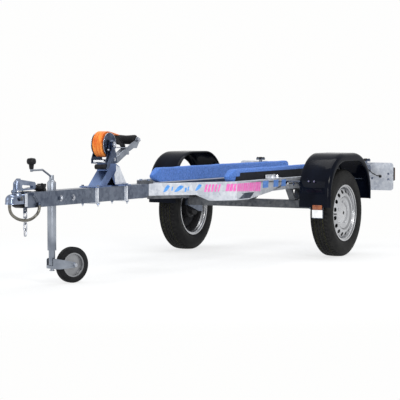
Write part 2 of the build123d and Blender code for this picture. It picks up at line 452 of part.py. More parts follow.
# ---- winch stand on the drawbar, winch, bow stop
T0, T1 = BAR_TOP, BAR_TOP + 6  # the stand's two base plates lie on the drawbar
LEG_HALF, STAND_TOP = 36.0, 640.0
leg = plate_xz([(2060, T0), (2060, T1), (2004, T1), (1914, 600), (1914, STAND_TOP), (1832, STAND_TOP), (1832, 602), (1870, 566), (1924, T1), (1905, T1), (1905, T0)], -LEG_HALF, LEG_HALF)
leg_inside = plate_xz([(1994, T1 + 4), (1906, 598), (1906, STAND_TOP - 4), (1842, STAND_TOP - 4), (1842, 606), (1876, 572), (1932, T1 + 4)], -LEG_HALF + 4, LEG_HALF - 4)
gusset = plate_xz([(1832, STAND_TOP), (1790, STAND_TOP - 20), (1716, T1), (1700, T1), (1700, T0), (1836, T0), (1836, T1), (1868, 563), (1832, 600)], -LEG_HALF, LEG_HALF)
gusset_gap = plate_xz([(1867, 562), (1831, 598), (1786, 598), (1722, T1), (1838, T1)], -LEG_HALF + 5, LEG_HALF - 5)
save("winch_stand", [leg, box(1905, 2060, -BASE_Y, BASE_Y, T0, T1), gusset, box(1700, 1836, -BASE_Y, BASE_Y, T0, T1)],
     [leg_inside, gusset_gap] + [rod((x, s * STRAP_Y, T0 - 12), (x, s * STRAP_Y, T1 + 12), 4) for x in (STAND_FRONT_X, STAND_REAR_X) for s in (1, -1)])
clamps = []
for x in (STAND_FRONT_X, STAND_REAR_X):
    clamps += [box(x - 13, x + 13, *sorted((s * BAR_HALF, s * (BAR_HALF + 4))), BAR_BOTTOM - 8, BAR_TOP) for s in (1, -1)]
    clamps += [box(x - 13, x + 13, -BASE_Y, BASE_Y, BAR_BOTTOM - 8, BAR_BOTTOM)]
    clamps += [rod((x, s * STRAP_Y, BAR_BOTTOM - 24), (x, s * STRAP_Y, BAR_TOP + 12), 4) for s in (1, -1)]
save("stand_clamps", clamps)
CHEEK = [(1838, STAND_TOP + 6), (1950, STAND_TOP + 6), (1950, 664), (1932, 700), (DRUM_X + 20, DRUM_Z + 14), (DRUM_X, DRUM_Z + 24), (DRUM_X - 20, DRUM_Z + 14), (1846, 690)]
save("winch_frame", [box(1838, 1950, -50, 50, STAND_TOP, STAND_TOP + 6)] + [plate_xz(CHEEK, *sorted((s * 46, s * 50))) for s in (1, -1)]
     + [rod((1926, -52, STAND_TOP + 18), (1926, 52, STAND_TOP + 18), 6)], [rod((DRUM_X, -60, DRUM_Z), (DRUM_X, 60, DRUM_Z), 10)])
save("winch_drum", [rod((DRUM_X, -54, DRUM_Z), (DRUM_X, 54, DRUM_Z), 10), rod((DRUM_X, -40, DRUM_Z), (DRUM_X, -37, DRUM_Z), DRUM_FLANGE_R), rod((DRUM_X, 37, DRUM_Z), (DRUM_X, 40, DRUM_Z), DRUM_FLANGE_R)])
crank_arm = plate_xz([(DRUM_X - 13, DRUM_Z + 10), (DRUM_X, DRUM_Z + 17), (DRUM_X + 13, DRUM_Z + 10), (DRUM_X + 16, DRUM_Z - 30), (GRIP_X + 12, GRIP_Z - 10), (GRIP_X - 12, GRIP_Z - 10), (DRUM_X - 8, DRUM_Z - 42)], 58, 64)
save("winch_crank", [rod((DRUM_X, 54, DRUM_Z), (DRUM_X, 70, DRUM_Z), 12), crank_arm, rod((GRIP_X, 64, GRIP_Z), (GRIP_X, 30, GRIP_Z), 5)])
save("crank_grip", [rod((GRIP_X, 57.5, GRIP_Z), (GRIP_X, -14, GRIP_Z), 14.5)], [rod((GRIP_X, 70, GRIP_Z), (GRIP_X, 30, GRIP_Z), 5)])
with BuildPart() as strap:
    with BuildSketch(Plane(origin=(AX, 30, 0), x_dir=(1, 0, 0), z_dir=(0, -1, 0))):
        with Locations((DRUM_X, DRUM_Z)):
            Circle(STRAP_R)
            Circle(10, mode=Mode.SUBTRACT)
        with BuildLine():
            Polyline((DRUM_X + 4, DRUM_Z + STRAP_R - 0.5), (HOOK_X, 798), (HOOK_X, 794), (DRUM_X - 14, DRUM_Z + STRAP_R - 5), close=True)
        make_face()
    extrude(amount=60)
save("winch_strap", [strap.part])
save("strap_hook", [plate_xz([(HOOK_X, 800), (HOOK_X, 789), (ROLLER_X + 45, 727), (ROLLER_X + 29, 727), (ROLLER_X + 29, 735), (HOOK_X - 12, 800)], -12, 12)])
save("bow_arm", [square_tube([(1860, 0, 612), (1780, 0, 660), (1690, 0, 703), (1660, 0, 703)], 38)], [box(1748, 1960, -50, 50, 560, STAND_TOP), box(1832, 1960, -50, 50, 560, 700), rod((DRUM_X, -32, DRUM_Z), (DRUM_X, 32, DRUM_Z), STRAP_R + 5)])
with BuildPart() as ears:
    with BuildSketch(Plane(origin=(AX, 75, 0), x_dir=(1, 0, 0), z_dir=(0, -1, 0))):
        with Locations((ROLLER_X, ROLLER_Z)):
            Circle(17)
        with BuildLine():
            Polyline((ROLLER_X - 17, ROLLER_Z - 2), (ROLLER_X - 13, 752), (ROLLER_X + 10, 722), (ROLLER_X + 45, 722), (ROLLER_X + 85, 706), (ROLLER_X + 122, 722), (ROLLER_X + 60, 752), (ROLLER_X + 17, ROLLER_Z), close=True)
        make_face()
    extrude(amount=150)
pin = rod((ROLLER_X, -84, ROLLER_Z), (ROLLER_X, 84, ROLLER_Z), 8)
yoke_parts, yoke_cuts = ([ears.part],
     [box(ROLLER_X - 38, ROLLER_X + 45, -70, 70, 727, 800), box(ROLLER_X + 45, ROLLER_X + 130, -70, 70, 700, 800)])
with BuildPart() as yoke:
    for piece in yoke_parts:
        add(piece)
    for piece in yoke_cuts:
        add(piece, mode=Mode.SUBTRACT)
    add(pin)
save("bow_yoke", [yoke.part])
save("bow_roller", [turned([(8.3, -65), (22, -65), (29, -56), (26, -20), (25, 0), (26, 20), (29, 56), (22, 65), (8.3, 65)], (ROLLER_X, 0, ROLLER_Z))])

# ---- light boards on sliding arms
sleeves, bores = [], []
for side, s in (("left", 1), ("right", -1)):
    y0, y1 = sorted((s * (LAMP_Y - 24), s * (LAMP_Y + 24)))
    i0, i1 = sorted((s * (LAMP_Y - 19.3), s * (LAMP_Y + 19.3)))
    a0, a1 = sorted((s * (LAMP_Y - 19), s * (LAMP_Y + 19)))
    b0, b1 = sorted((s * (LAMP_Y - 16), s * (LAMP_Y + 16)))
    c0, c1 = sorted((s * 312, s * (LAMP_Y + 24)))
    sleeves += [box(-835, -640, y0, y1, LAMP_Z - 24, LAMP_Z + 24), box(-760, -700, c0, c1, BAR_TOP, LAMP_Z - 24),
                rod((-820, s * LAMP_Y, LAMP_Z + 22), (-820, s * LAMP_Y, LAMP_Z + 52), 11), box(-827, -813, s * LAMP_Y - 32, s * LAMP_Y + 32, LAMP_Z + 48, LAMP_Z + 62)]
    bores += [box(-840, -630, i0, i1, LAMP_Z - 19.3, LAMP_Z + 19.3)]
    save(f"lamp_arm_{side}", [box(PLATE_X + 3, -600, a0, a1, LAMP_Z - 19, LAMP_Z + 19)], [box(PLATE_X + 10, -590, b0, b1, LAMP_Z - 16, LAMP_Z + 16)])
    w0, w1 = sorted((s * (LAMP_Y - 2), s * (LAMP_Y + 2)))
    with BuildPart() as plate:
        with BuildSketch(Plane(origin=(AX + PLATE_X, 0, 0), x_dir=(0, 1, 0), z_dir=(1, 0, 0))):
            with Locations((s * (LAMP_PLATE_Y0 + LAMP_PLATE_Y1) / 2, 484)):
                RectangleRounded(LAMP_PLATE_Y1 - LAMP_PLATE_Y0, 192, 22)
        extrude(amount=3)
    save(f"lamp_plate_{side}", [plate.part, plate_xz([(PLATE_X + 3, LAMP_Z - 19), (PLATE_X + 3, 440), (-837, 500), (-837, LAMP_Z - 19)], w0, w1)])
    l0, l1 = sorted((s * 396, s * (LAMP_PLATE_Y1 + 6)))
    save(f"lamp_{side}", [box(PLATE_X - 14, PLATE_X, l0, l1, 456, 548), box(PLATE_X - 30, PLATE_X - 14, l0 + 2, l1 - 2, 458, 546)])
save("lamp_sleeves", sleeves, bores)
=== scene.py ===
"""Boat trailer: camera, light, materials and fine pieces over the CAD frame. Metres, +Z up, +X forward."""
import math
import random

import bmesh
import bpy
from mathutils import Matrix, Vector, noise


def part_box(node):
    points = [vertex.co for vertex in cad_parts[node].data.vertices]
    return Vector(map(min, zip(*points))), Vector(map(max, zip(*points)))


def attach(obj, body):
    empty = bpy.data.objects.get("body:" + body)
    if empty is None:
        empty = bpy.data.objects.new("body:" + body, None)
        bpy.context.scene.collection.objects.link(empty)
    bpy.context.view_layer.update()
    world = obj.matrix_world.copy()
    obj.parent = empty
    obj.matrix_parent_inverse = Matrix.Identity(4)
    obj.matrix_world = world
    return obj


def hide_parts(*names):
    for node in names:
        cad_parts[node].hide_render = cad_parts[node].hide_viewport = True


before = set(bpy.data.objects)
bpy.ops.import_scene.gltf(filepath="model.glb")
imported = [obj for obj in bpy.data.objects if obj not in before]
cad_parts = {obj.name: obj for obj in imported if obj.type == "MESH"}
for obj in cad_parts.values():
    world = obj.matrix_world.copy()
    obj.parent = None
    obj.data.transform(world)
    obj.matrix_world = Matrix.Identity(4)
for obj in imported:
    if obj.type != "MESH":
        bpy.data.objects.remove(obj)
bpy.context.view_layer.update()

random.seed(7)

# ---- places are given as in the part: mm, x forward from the road wheels' axle
SIDES = (("left", 1), ("right", -1))
FORWARD, BACKWARD, LEFT, RIGHT, UP, DOWN = (1, 0, 0), (-1, 0, 0), (0, 1, 0), (0, -1, 0), (0, 0, 1), (0, 0, -1)
QUARTER = math.pi / 2


def middle(node):
    """The centre and the size of a CAD node's box."""
    lo, hi = (Vector(c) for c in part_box(node))
    return (lo + hi) / 2, hi - lo


AX = middle("tyre_left")[0].x * 1000


def at(x, y, z):
    return Vector(((x + AX) / 1000, y / 1000, z / 1000))


# ---- camera at the photograph's viewpoint
LENS_PX, FRAME_PX, SENSOR_MM = 1555.08, 400.0, 36.0
CAMERA_AT = at(9170, 4691, 903)
VIEW_DIR = Vector((-0.872, -0.489, 0.0)).normalized()
HORIZON_PX = 116.03
cam_data = bpy.data.cameras.new("camera")
cam_data.sensor_width = SENSOR_MM
cam_data.lens = SENSOR_MM * LENS_PX / FRAME_PX
cam_data.clip_end = 100.0
camera = bpy.data.objects.new("camera", cam_data)
bpy.context.collection.objects.link(camera)
pitch = (FRAME_PX / 2 - HORIZON_PX) / LENS_PX
camera.location = CAMERA_AT
camera.rotation_euler = (VIEW_DIR - Vector((0, 0, pitch))).to_track_quat("-Z", "Y").to_euler()
bpy.context.scene.camera = camera
bpy.context.scene.view_settings.view_transform = "Standard"


# ---- materials
RAMP_FROM, RAMP_TO = 0.3, 0.7
CELL_SHARE, CLOUD_SHARE = 0.28, 0.74
COAT_ROUGH, SHEEN_ROUGH, GRAIN_DETAIL = 0.06, 0.5, 4.0


def shader(name):
    """A new material with its nodes, its links and its Principled node."""
    m = bpy.data.materials.new(name)
    m.use_nodes = True
    return m, m.node_tree.nodes, m.node_tree.links, m.node_tree.nodes["Principled BSDF"]


def fill(node, inputs):
    """Sets a shader node's unlinked inputs."""
    for socket, value in inputs.items():
        node.inputs[socket].default_value = value


def add_node(nodes, kind, inputs=None, **settings):
    """A new shader node with its settings and unlinked inputs."""
    node = nodes.new("ShaderNode" + kind)
    for key, value in settings.items():
        setattr(node, key, value)
    fill(node, inputs or {})
    return node


def surface(name, low, high, metallic, rough, scale, stretch=(1, 1, 1), bump=0.1, bump_scale=400.0,
            spangle=0.0, coat=0.0, sheen=0.0, detail=6.0, depth=0.0004, specular=0.5):
    """A surface whose colour runs from low to high by noise or by crystal cells, with its roughness range and bump."""
    m, nodes, links, bsdf = shader(name)
    coord = add_node(nodes, "TexCoord")
    mapping = add_node(nodes, "Mapping", {"Scale": stretch})
    links.new(coord.outputs["Object"], mapping.inputs["Vector"])
    cloud = add_node(nodes, "TexNoise", {"Scale": scale, "Detail": detail})
    links.new(mapping.outputs["Vector"], cloud.inputs["Vector"])
    fac = cloud.outputs["Fac"]
    if spangle:
        cells = add_node(nodes, "TexVoronoi", {"Scale": spangle})
        links.new(mapping.outputs["Vector"], cells.inputs["Vector"])
        grey = add_node(nodes, "SeparateColor")
        links.new(cells.outputs["Color"], grey.inputs["Color"])
        mix = add_node(nodes, "Math", {1: CELL_SHARE}, operation="MULTIPLY_ADD")
        links.new(grey.outputs["Red"], mix.inputs[0])
        part = add_node(nodes, "Math", {1: CLOUD_SHARE}, operation="MULTIPLY")
        links.new(cloud.outputs["Fac"], part.inputs[0])
        links.new(part.outputs["Value"], mix.inputs[2])
        fac = mix.outputs["Value"]
    ramp = add_node(nodes, "ValToRGB")
    for element, place, colour in zip(ramp.color_ramp.elements, (RAMP_FROM, RAMP_TO), (low, high)):
        element.position = place
        element.color = (*colour, 1)
    links.new(fac, ramp.inputs["Fac"])
    links.new(ramp.outputs["Color"], bsdf.inputs["Base Color"])
    spread = add_node(nodes, "MapRange", {"To Min": rough[0], "To Max": rough[1]})
    links.new(fac, spread.inputs["Value"])
    links.new(spread.outputs["Result"], bsdf.inputs["Roughness"])
    fill(bsdf, {"Metallic": metallic, "Specular IOR Level": specular})
    if coat:
        fill(bsdf, {"Coat Weight": coat, "Coat Roughness": COAT_ROUGH})
    if sheen:
        fill(bsdf, {"Sheen Weight": sheen, "Sheen Roughness": SHEEN_ROUGH})
    grain = add_node(nodes, "TexNoise", {"Scale": bump_scale, "Detail": GRAIN_DETAIL})
    links.new(mapping.outputs["Vector"], grain.inputs["Vector"])
    relief = add_node(nodes, "Bump", {"Strength": bump, "Distance": depth})
    links.new(grain.outputs["Fac"], relief.inputs["Height"])
    links.new(relief.outputs["Normal"], bsdf.inputs["Normal"])
    return m


# name, darkest and lightest colour, metallic, roughness from and to, scale of the clouds
GALV = surface("galvanised steel", (0.062, 0.078, 0.115), (0.15, 0.175, 0.225), 0.85, (0.24, 0.4), 7,
               bump=0.15, bump_scale=90, spangle=55)
GALV_PALE = surface("galvanised sheet", (0.43, 0.46, 0.52), (0.66, 0.68, 0.72), 0.5, (0.3, 0.46), 6,
                    bump=0.15, bump_scale=120, spangle=60)
# weathered steel on the axle and small parts; painted shade on the front plates
GALV_WORN_AND_SHADE = surface("weathered galvanised steel and painted shade", (0.045, 0.05, 0.06), (0.13, 0.135, 0.145), 0.7, (0.35, 0.5), 14,
                    bump=0.2, bump_scale=90, spangle=60, depth=0.0005)
ZINC = surface("bright zinc", (0.1, 0.13, 0.2), (0.27, 0.31, 0.4), 1.0, (0.14, 0.28), 22, bump=0.12, bump_scale=160)
CHROME = surface("polished steel", (0.3, 0.32, 0.36), (0.5, 0.52, 0.57), 1.0, (0.12, 0.24), 30,
                 bump=0.05, bump_scale=300)
RIM = surface("silver wheel paint", (0.34, 0.345, 0.36), (0.56, 0.565, 0.58), 0.75, (0.2, 0.32), 8, bump_scale=700)
# painted shade on the road wheel discs' bowl wall; also the jockey rim's darker grey
RIM_DARK_AND_SHADE = surface("brake-dusted wheel paint", (0.15, 0.152, 0.162), (0.33, 0.335, 0.345), 0.75, (0.22, 0.36), 9,
                   bump_scale=700)
RUBBER = surface("tyre rubber", (0.006, 0.006, 0.007), (0.014, 0.014, 0.015), 0.0, (0.55, 0.7), 26,
                 bump=0.3, bump_scale=500, specular=0.12)
TREAD = surface("tyre tread rubber", (0.006, 0.006, 0.007), (0.016, 0.016, 0.015), 0.0, (0.55, 0.72), 26,
                bump=0.3, bump_scale=500, specular=0.12)
DUST = surface("dusty groove", (0.05, 0.05, 0.025), (0.13, 0.125, 0.06), 0.0, (0.8, 0.95), 40,
               bump=0.3, bump_scale=500, specular=0.1)
GUARD = surface("gloss black guard", (0.0013, 0.002, 0.0052), (0.0034, 0.005, 0.0105), 0.0, (0.16, 0.26), 12,
                bump_scale=60, coat=0.1, specular=0.02)
PLASTIC = surface("black plastic", (0.006, 0.006, 0.007), (0.014, 0.014, 0.016), 0.0, (0.35, 0.5), 40,
                  bump=0.2, bump_scale=900, specular=0.15)
# dark iron for the hubs; also painted shade inside the road wheels
HUB_AND_SHADE = surface("hub iron and painted shade", (0.012, 0.012, 0.014), (0.03, 0.03, 0.032), 0.4, (0.5, 0.65), 40,
              bump=0.3, bump_scale=300, specular=0.2)
WINCH = surface("winch steel", (0.018, 0.028, 0.06), (0.075, 0.1, 0.16), 0.85, (0.2, 0.34), 30,
                bump=0.15, bump_scale=200)
CARPET = surface("blue carpet", (0.036, 0.11, 0.37), (0.13, 0.285, 0.76), 0.0, (0.85, 0.98), 150,
                 bump=1.0, bump_scale=420, sheen=0.12, depth=0.004, detail=8, specular=0.1)
# near-black: painted shadow low on the bunks' outer sides
BUNK_SHADOW = surface("painted shadow on bunk", (0.006, 0.007, 0.010), (0.014, 0.015, 0.02), 0.0, (0.6, 0.8), 30, (1, 12, 12),
                 bump=0.5, bump_scale=200, specular=0.2)
FRESH = surface("fresh galvanised steel", (0.16, 0.18, 0.22), (0.34, 0.37, 0.42), 0.95, (0.3, 0.38), 10,
                bump=0.06, bump_scale=120)
# blue tint: a painted reflection of the sky on the winch stand
STAND_SKY_TINT = surface("galvanised steel with painted sky reflection", (0.05, 0.08, 0.18), (0.17, 0.25, 0.46), 0.85, (0.22, 0.36), 8,
                bump=0.12, bump_scale=120)
# near-white zinc: painted highlight on the bunk brackets
BRACKET_HIGHLIGHT = surface("zinc plate painted as highlight", (0.6, 0.62, 0.66), (0.8, 0.82, 0.85), 0.6, (0.2, 0.32), 30, bump_scale=300)
STRAP = surface("orange webbing", (0.62, 0.075, 0.006), (0.96, 0.36, 0.06), 0.0, (0.5, 0.66), 20, (1, 5, 1),
                bump=0.8, bump_scale=260, sheen=0.08, depth=0.0008, specular=0.2)
SHEATH = surface("cable sheath", (0.055, 0.052, 0.042), (0.2, 0.19, 0.165), 0.55, (0.2, 0.36), 60,
                 bump=0.3, bump_scale=900)
WHITE = surface("white reflector", (0.78, 0.78, 0.77), (0.9, 0.9, 0.89), 0.0, (0.2, 0.3), 60,
                bump=0.4, bump_scale=700, coat=0.5)
AMBER = surface("amber lens", (0.2, 0.045, 0.012), (0.34, 0.1, 0.03), 0.0, (0.15, 0.25), 60,
                bump=0.4, bump_scale=700, coat=0.4)
RED = surface("red lens", (0.42, 0.012, 0.012), (0.6, 0.03, 0.02), 0.0, (0.12, 0.22), 60,
              bump=0.4, bump_scale=500, coat=0.8)
PINK = surface("pink film", (0.66, 0.09, 0.38), (0.82, 0.2, 0.52), 0.0, (0.3, 0.45), 60, bump_scale=300)
BLUE = surface("blue film", (0.04, 0.22, 0.6), (0.12, 0.36, 0.78), 0.0, (0.3, 0.45), 60, bump_scale=300)
NAVY = surface("navy film", (0.07, 0.17, 0.45), (0.13, 0.26, 0.6), 0.0, (0.3, 0.45), 60, bump_scale=300)


# ---- mesh helpers
WELD_M = 1e-6
PIPE_SIDES = 16


def piece(name, verts, faces, material, body, smooth=True, node=None):
    """A mesh object that rides on body and, where node is given, stands for that CAD node."""
    mesh = bpy.data.meshes.new(name)
    mesh.from_pydata([tuple(v) for v in verts], [], faces)
    mesh.validate()
    obj = bpy.data.objects.new(name, mesh)
    bpy.context.collection.objects.link(obj)
    mesh.materials.append(material)
    if smooth:
        mesh.polygons.foreach_set("use_smooth", [True] * len(mesh.polygons))
    tidy = bmesh.new()
    tidy.from_mesh(mesh)
    bmesh.ops.remove_doubles(tidy, verts=tidy.verts, dist=WELD_M)
    bmesh.ops.recalc_face_normals(tidy, faces=tidy.faces)
    tidy.to_mesh(mesh)
    tidy.free()
    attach(obj, body)
    if node:
        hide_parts(node)
    return obj


def creased(obj, angle):
    """Keeps edges sharper than angle crisp in a smooth-shaded mesh."""
    mesh = obj.data
    work = bmesh.new()
    work.from_mesh(mesh)
    for edge in work.edges:
        if len(edge.link_faces) == 2 and edge.calc_face_angle(0) > math.radians(angle):
            edge.smooth = False
    work.to_mesh(mesh)
    work.free()
    return obj


def repaint(obj, material, centre, wanted):
    """Gives material to the faces that wanted(face, its middle from centre) picks."""
    obj.data.materials.append(material)
    slot = len(obj.data.materials) - 1
    for face in obj.data.polygons:
        if wanted(face, face.center - centre):
            face.material_index = slot


def rounded(points, rounds=2):
    """Cuts the corners of an open line of points, keeping its ends."""
    for _ in range(rounds):
        cut = [points[0]]
        for a, b in zip(points, points[1:]):
            cut.append(tuple(p * 0.75 + q * 0.25 for p, q in zip(a, b)))
            cut.append(tuple(p * 0.25 + q * 0.75 for p, q in zip(a, b)))
        points = cut + [points[-1]]
    return points


def quads(rows, n, base=0, closed=True, ring=False):
    """Faces between neighbouring rows of n points; closed joins a row's ends, ring the last row to the first."""
    faces = []
    for k in range(rows if ring else rows - 1):
        here, there = base + k * n, base + (k + 1) % rows * n
        for i in range(n if closed else n - 1):
            faces.append((here + i, here + (i + 1) % n, there + (i + 1) % n, there + i))
    return faces


def around(side, other, angle):
    """The direction at angle in the plane of two directions."""
    return side * math.cos(angle) + other * math.sin(angle)


def lathe(profile, centre, axis, count=96):
    """Vertices and faces of a closed profile of (radius, along) turned about axis."""
    axis = Vector(axis).normalized()
    side = axis.orthogonal().normalized()
    other = axis.cross(side)
    verts = []
    for k in range(count):
        out = around(side, other, 2 * math.pi * k / count)
        verts += [centre + out * r + axis * w for r, w in profile]
    return verts, quads(count, len(profile), ring=True)


def join(parts):
    """Several (verts, faces) as one."""
    verts, faces = [], []
    for v, f in parts:
        base = len(verts)
        verts += list(v)
        faces += [tuple(i + base for i in face) for face in f]
    return verts, faces


def hex_bolt(centre, axis, width, height, turn):
    """A hexagon head with a chamfered crown, standing on its washer."""
    axis = Vector(axis).normalized()
    side = axis.orthogonal().normalized()
    other = axis.cross(side)
    base, bore, washer = height * 0.22, width * 0.2, width * 0.95
    ring = [(bore, 0), (washer, 0), (washer, base * 0.8), (washer * 0.96, base), (bore, base)]
    parts = [lathe(ring, centre, axis, 24)]
    rings, r = [], width / math.sqrt(3)
    crown = ((1.0, base), (1.0, height * 0.82), (0.86, height), (0.55, height * 1.02), (0.5, height * 0.9))
    for grow, along in crown:
        for k in range(6):
            rings.append(centre + around(side, other, turn + k * math.pi / 3) * r * grow + axis * along)
    top = tuple(range(len(rings) - 6, len(rings)))
    parts.append((rings, quads(len(crown), 6) + [top]))
    return join(parts)


def bolts(name, rows, material, body):
    """rows: (x, y, z in mm, axis, across flats in mm, head height in mm)."""
    parts = [hex_bolt(at(x, y, z), axis, w / 1000, h / 1000, random.random()) for x, y, z, axis, w, h in rows]
    return creased(piece(name, *join(parts), material, body), 25)


def route(points):
    """The smooth line that a NURBS through points draws, as vectors."""
    curve = bpy.data.curves.new("route", "CURVE")
    curve.dimensions = "3D"
    spline = curve.splines.new("NURBS")
    spline.points.add(len(points) - 1)
    for p, q in zip(spline.points, points):
        p.co = (*q, 1)
    spline.order_u = 3
    spline.use_endpoint_u = True
    spline.resolution_u = 10
    obj = bpy.data.objects.new("route", curve)
    bpy.context.collection.objects.link(obj)
    bpy.context.view_layer.update()
    line = bpy.data.meshes.new_from_object(obj.evaluated_get(bpy.context.evaluated_depsgraph_get()))
    path = [v.co.copy() for v in line.vertices]
    bpy.data.objects.remove(obj)
    return path


def pipe(line, radius, sides=PIPE_SIDES):
    """Vertices and faces of a tube along line; radius is a number or a function of the share of the way."""
    way = [(b - a).normalized() for a, b in zip(line, line[1:])]
    way = [way[0]] + [(a + b).normalized() for a, b in zip(way, way[1:])] + [way[-1]]
    side = way[0].orthogonal().normalized()
    verts, last = [], len(line) - 1
    for k, (p, t) in enumerate(zip(line, way)):
        side = (side - t * side.dot(t)).normalized()
        other = t.cross(side)
        r = radius(k / last) if callable(radius) else radius
        verts += [p + around(side, other, 2 * math.pi * i / sides) * r for i in range(sides)]
    faces = quads(len(line), sides)
    faces += [tuple(range(sides))[::-1], tuple(last * sides + i for i in range(sides))]
    return verts, faces


def tube(name, points, radius, material, body, node):
    """A piece that is one tube along the smooth line through points; gives the piece and its line."""
    line = route(points)
    return creased(piece(name, *pipe(line, radius), material, body, node=node), 50), line


# ---- cords: the break-away cable's loop and the plug's lead
LOOP_R, LEAD_R, PLUG_X, PLUG_Y, PLUG_Z = 8.0, 3.8, 2490, 9, 530.0
LOOP_LINE = [(2797, 13, 455), (2797, 13, 426), (2784, 20, 401), (2761, 29, 384), (2731, 36, 374),
             (2698, 42, 370), (2664, 46, 373), (2632, 49, 384), (2588, 50, 411), (2588, 50, 443)]
LEAD_LINE = [(2590, -25, 530), (2614, -28, 527), (2630, -28, 519), (2630, -28, 508.2)]
PLUG_TURN = math.radians(-20)
PLUG_AXIS = Vector((math.cos(PLUG_TURN), math.sin(PLUG_TURN), 0))
lead_start = [at(PLUG_X, PLUG_Y, PLUG_Z) + PLUG_AXIS * d / 1000 for d in (66, 80)]
safety, safety_line = tube("loop_cable", [at(*p) for p in LOOP_LINE], LOOP_R / 1000, SHEATH, "frame", "safety_cable")
lead, lead_line = tube("plug_cable", lead_start + [at(*p) for p in LEAD_LINE], LEAD_R / 1000, PLASTIC, "frame",
                       "plug_lead")

# ---- the CAD nodes' materials and softened edges
FINISH = {
    GALV: "drawbar cross_beams bunk_brackets torsion_arms mudguard_stays jockey_clamp jockey_lock lamp_sleeves "
          "lamp_arm_left lamp_arm_right chain_lugs",
    FRESH: "bow_arm bow_yoke jockey_outer_tube jockey_inner_tube jockey_fork jockey_crank",
    STAND_SKY_TINT: "winch_stand",
    # the front plates take this dark steel as painted shade
    GALV_WORN_AND_SHADE: "axle_beam axle_saddles front_plates",
    GALV_PALE: "rail_left rail_right lamp_plate_left lamp_plate_right stand_clamps",
    ZINC: "coupling_head coupling_lever coupling_pins safety_chain",
    CHROME: "jockey_axle",
    RIM_DARK_AND_SHADE: "jockey_rim",
    WINCH: "winch_frame winch_crank winch_drum",
    RIM: "rim_left rim_right",
    HUB_AND_SHADE: "hub_left hub_right",
    RUBBER: "jockey_tyre bow_roller tyre_left tyre_right",
    GUARD: "mudguard_left mudguard_right",
    PLASTIC: "jockey_knob crank_grip trailer_plug plug_holder coupling_latch strap_hook",
    STRAP: "winch_strap",
    CARPET: "bunk_left bunk_right",
    WHITE: "front_markers",
    RED: "lamp_left lamp_right",
}
ROUND_EDGE_MM = {
    "coupling_head": 2, "coupling_lever": 4, "drawbar": 5, "rail_left": 3, "rail_right": 3, "jockey_knob": 3,
    "lamp_left": 4, "lamp_right": 4, "axle_beam": 5, "jockey_tyre": 4, "bow_roller": 4, "bow_arm": 4,
    "winch_stand": 3, "trailer_plug": 2, "cross_beams": 4, "crank_grip": 3, "coupling_latch": 3, "strap_hook": 3,
}
CAD_WELD_M, ROUND_ABOVE_DEG = 1e-5, 35
for material, names in FINISH.items():
    for name in names.split():
        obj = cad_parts[name]
        obj.data.materials.clear()
        obj.data.materials.append(material)
        weld = obj.modifiers.new("weld", "WELD")
        weld.merge_threshold = CAD_WELD_M
        bevel = obj.modifiers.new("bevel", "BEVEL")
        bevel.width = ROUND_EDGE_MM.get(name, 1) / 1000
        bevel.segments = 3
        bevel.limit_method = "ANGLE"
        bevel.angle_limit = math.radians(ROUND_ABOVE_DEG)
        bevel.harden_normals = True


# ---- road wheels
GROOVES, GROOVE_HALF, ZIGZAG, BLOCK_EDGE = (-0.03, -0.0105, 0.0105, 0.03), 0.0022, 0.0022, 0.036
SLOT_DEPTH, SLOT_HALF, SIPE_DEPTH, SIPE_HALF, SIPE_LEAN = 0.8, 0.17, 0.45, 0.08, 22
PITCHES, PITCH_STEPS, WALL_COUNT, CROWN_COUNT, TREAD_DEEP = 64, 7, 15, 61, 0.006
BEAD_IN, SHOULDER_IN, CROWN_IN, BULGE, WALL_RIBS, WALL_RIB = 0.098, 0.014, 0.016, 0.0145, (3, 9), 0.0006
CROWN_FALL, SHOULDER_FALL, FALL_FROM = 0.0035, 0.0075, 0.043
DUST_DEEP, DUST_HALF = 0.0048, 0.034


def tread_depth(turn, y):
    """0 on a block, 1 in a groove; turn is in tread pitches."""
    zig = ZIGZAG * (2 * abs(2 * (turn - math.floor(turn)) - 1) - 1)
    for line in GROOVES:
        if abs(y - line - zig) < GROOVE_HALF:
            return 1.0
    if abs(y) > BLOCK_EDGE:
        return SLOT_DEPTH if abs((turn + 0.35 * (abs(y) - BLOCK_EDGE) / 0.02) % 1 - 0.5) < SLOT_HALF else 0.0
    return SIPE_DEPTH if abs((turn + y * SIPE_LEAN) % 1 - 0.5) < SIPE_HALF else 0.0


def tyre(name, node, body):
    """A road tyre: bulging walls with two fine ribs, and a crown of blocks with dusty grooves."""
    c, size = middle(node)
    top, half = size.z / 2, size.y / 2
    bead, shoulder, edge = top - BEAD_IN, top - SHOULDER_IN, half - CROWN_IN
    wall, crown, verts = [], [], []
    for i in range(WALL_COUNT):
        t = i / (WALL_COUNT - 1)
        bulge = half - BULGE + BULGE * math.sin(math.pi * min(1.0, t * 1.02)) ** 0.7
        wall.append((bead + (shoulder - bead) * t, bulge + (WALL_RIB if i in WALL_RIBS else 0.0)))
    for i in range(CROWN_COUNT):
        y = edge * (1 - 2 * i / (CROWN_COUNT - 1))
        fall = SHOULDER_FALL * max(0.0, (abs(y) - FALL_FROM) / (edge - FALL_FROM)) ** 2
        crown.append((top - CROWN_FALL * (y / edge) ** 2 - fall, y))
    profile = wall + crown + [(r, -y) for r, y in wall[::-1]] + [(bead - 0.006, -0.05), (bead - 0.006, 0.05)]
    count = PITCHES * PITCH_STEPS
    for k in range(count):
        a = 2 * math.pi * k / count
        for i, (r, y) in enumerate(profile):
            if WALL_COUNT < i < WALL_COUNT + CROWN_COUNT - 1:
                r -= TREAD_DEEP * tread_depth(k / PITCH_STEPS, y)
            verts.append(c + Vector((math.cos(a) * r, y, math.sin(a) * r)))
    obj = piece(name, verts, quads(count, len(profile), ring=True), TREAD, body, node=node)
    repaint(obj, DUST, c, lambda face, p: abs(p.y) < DUST_HALF and math.hypot(p.x, p.z) < top - DUST_DEEP)
    creased(obj, 40)


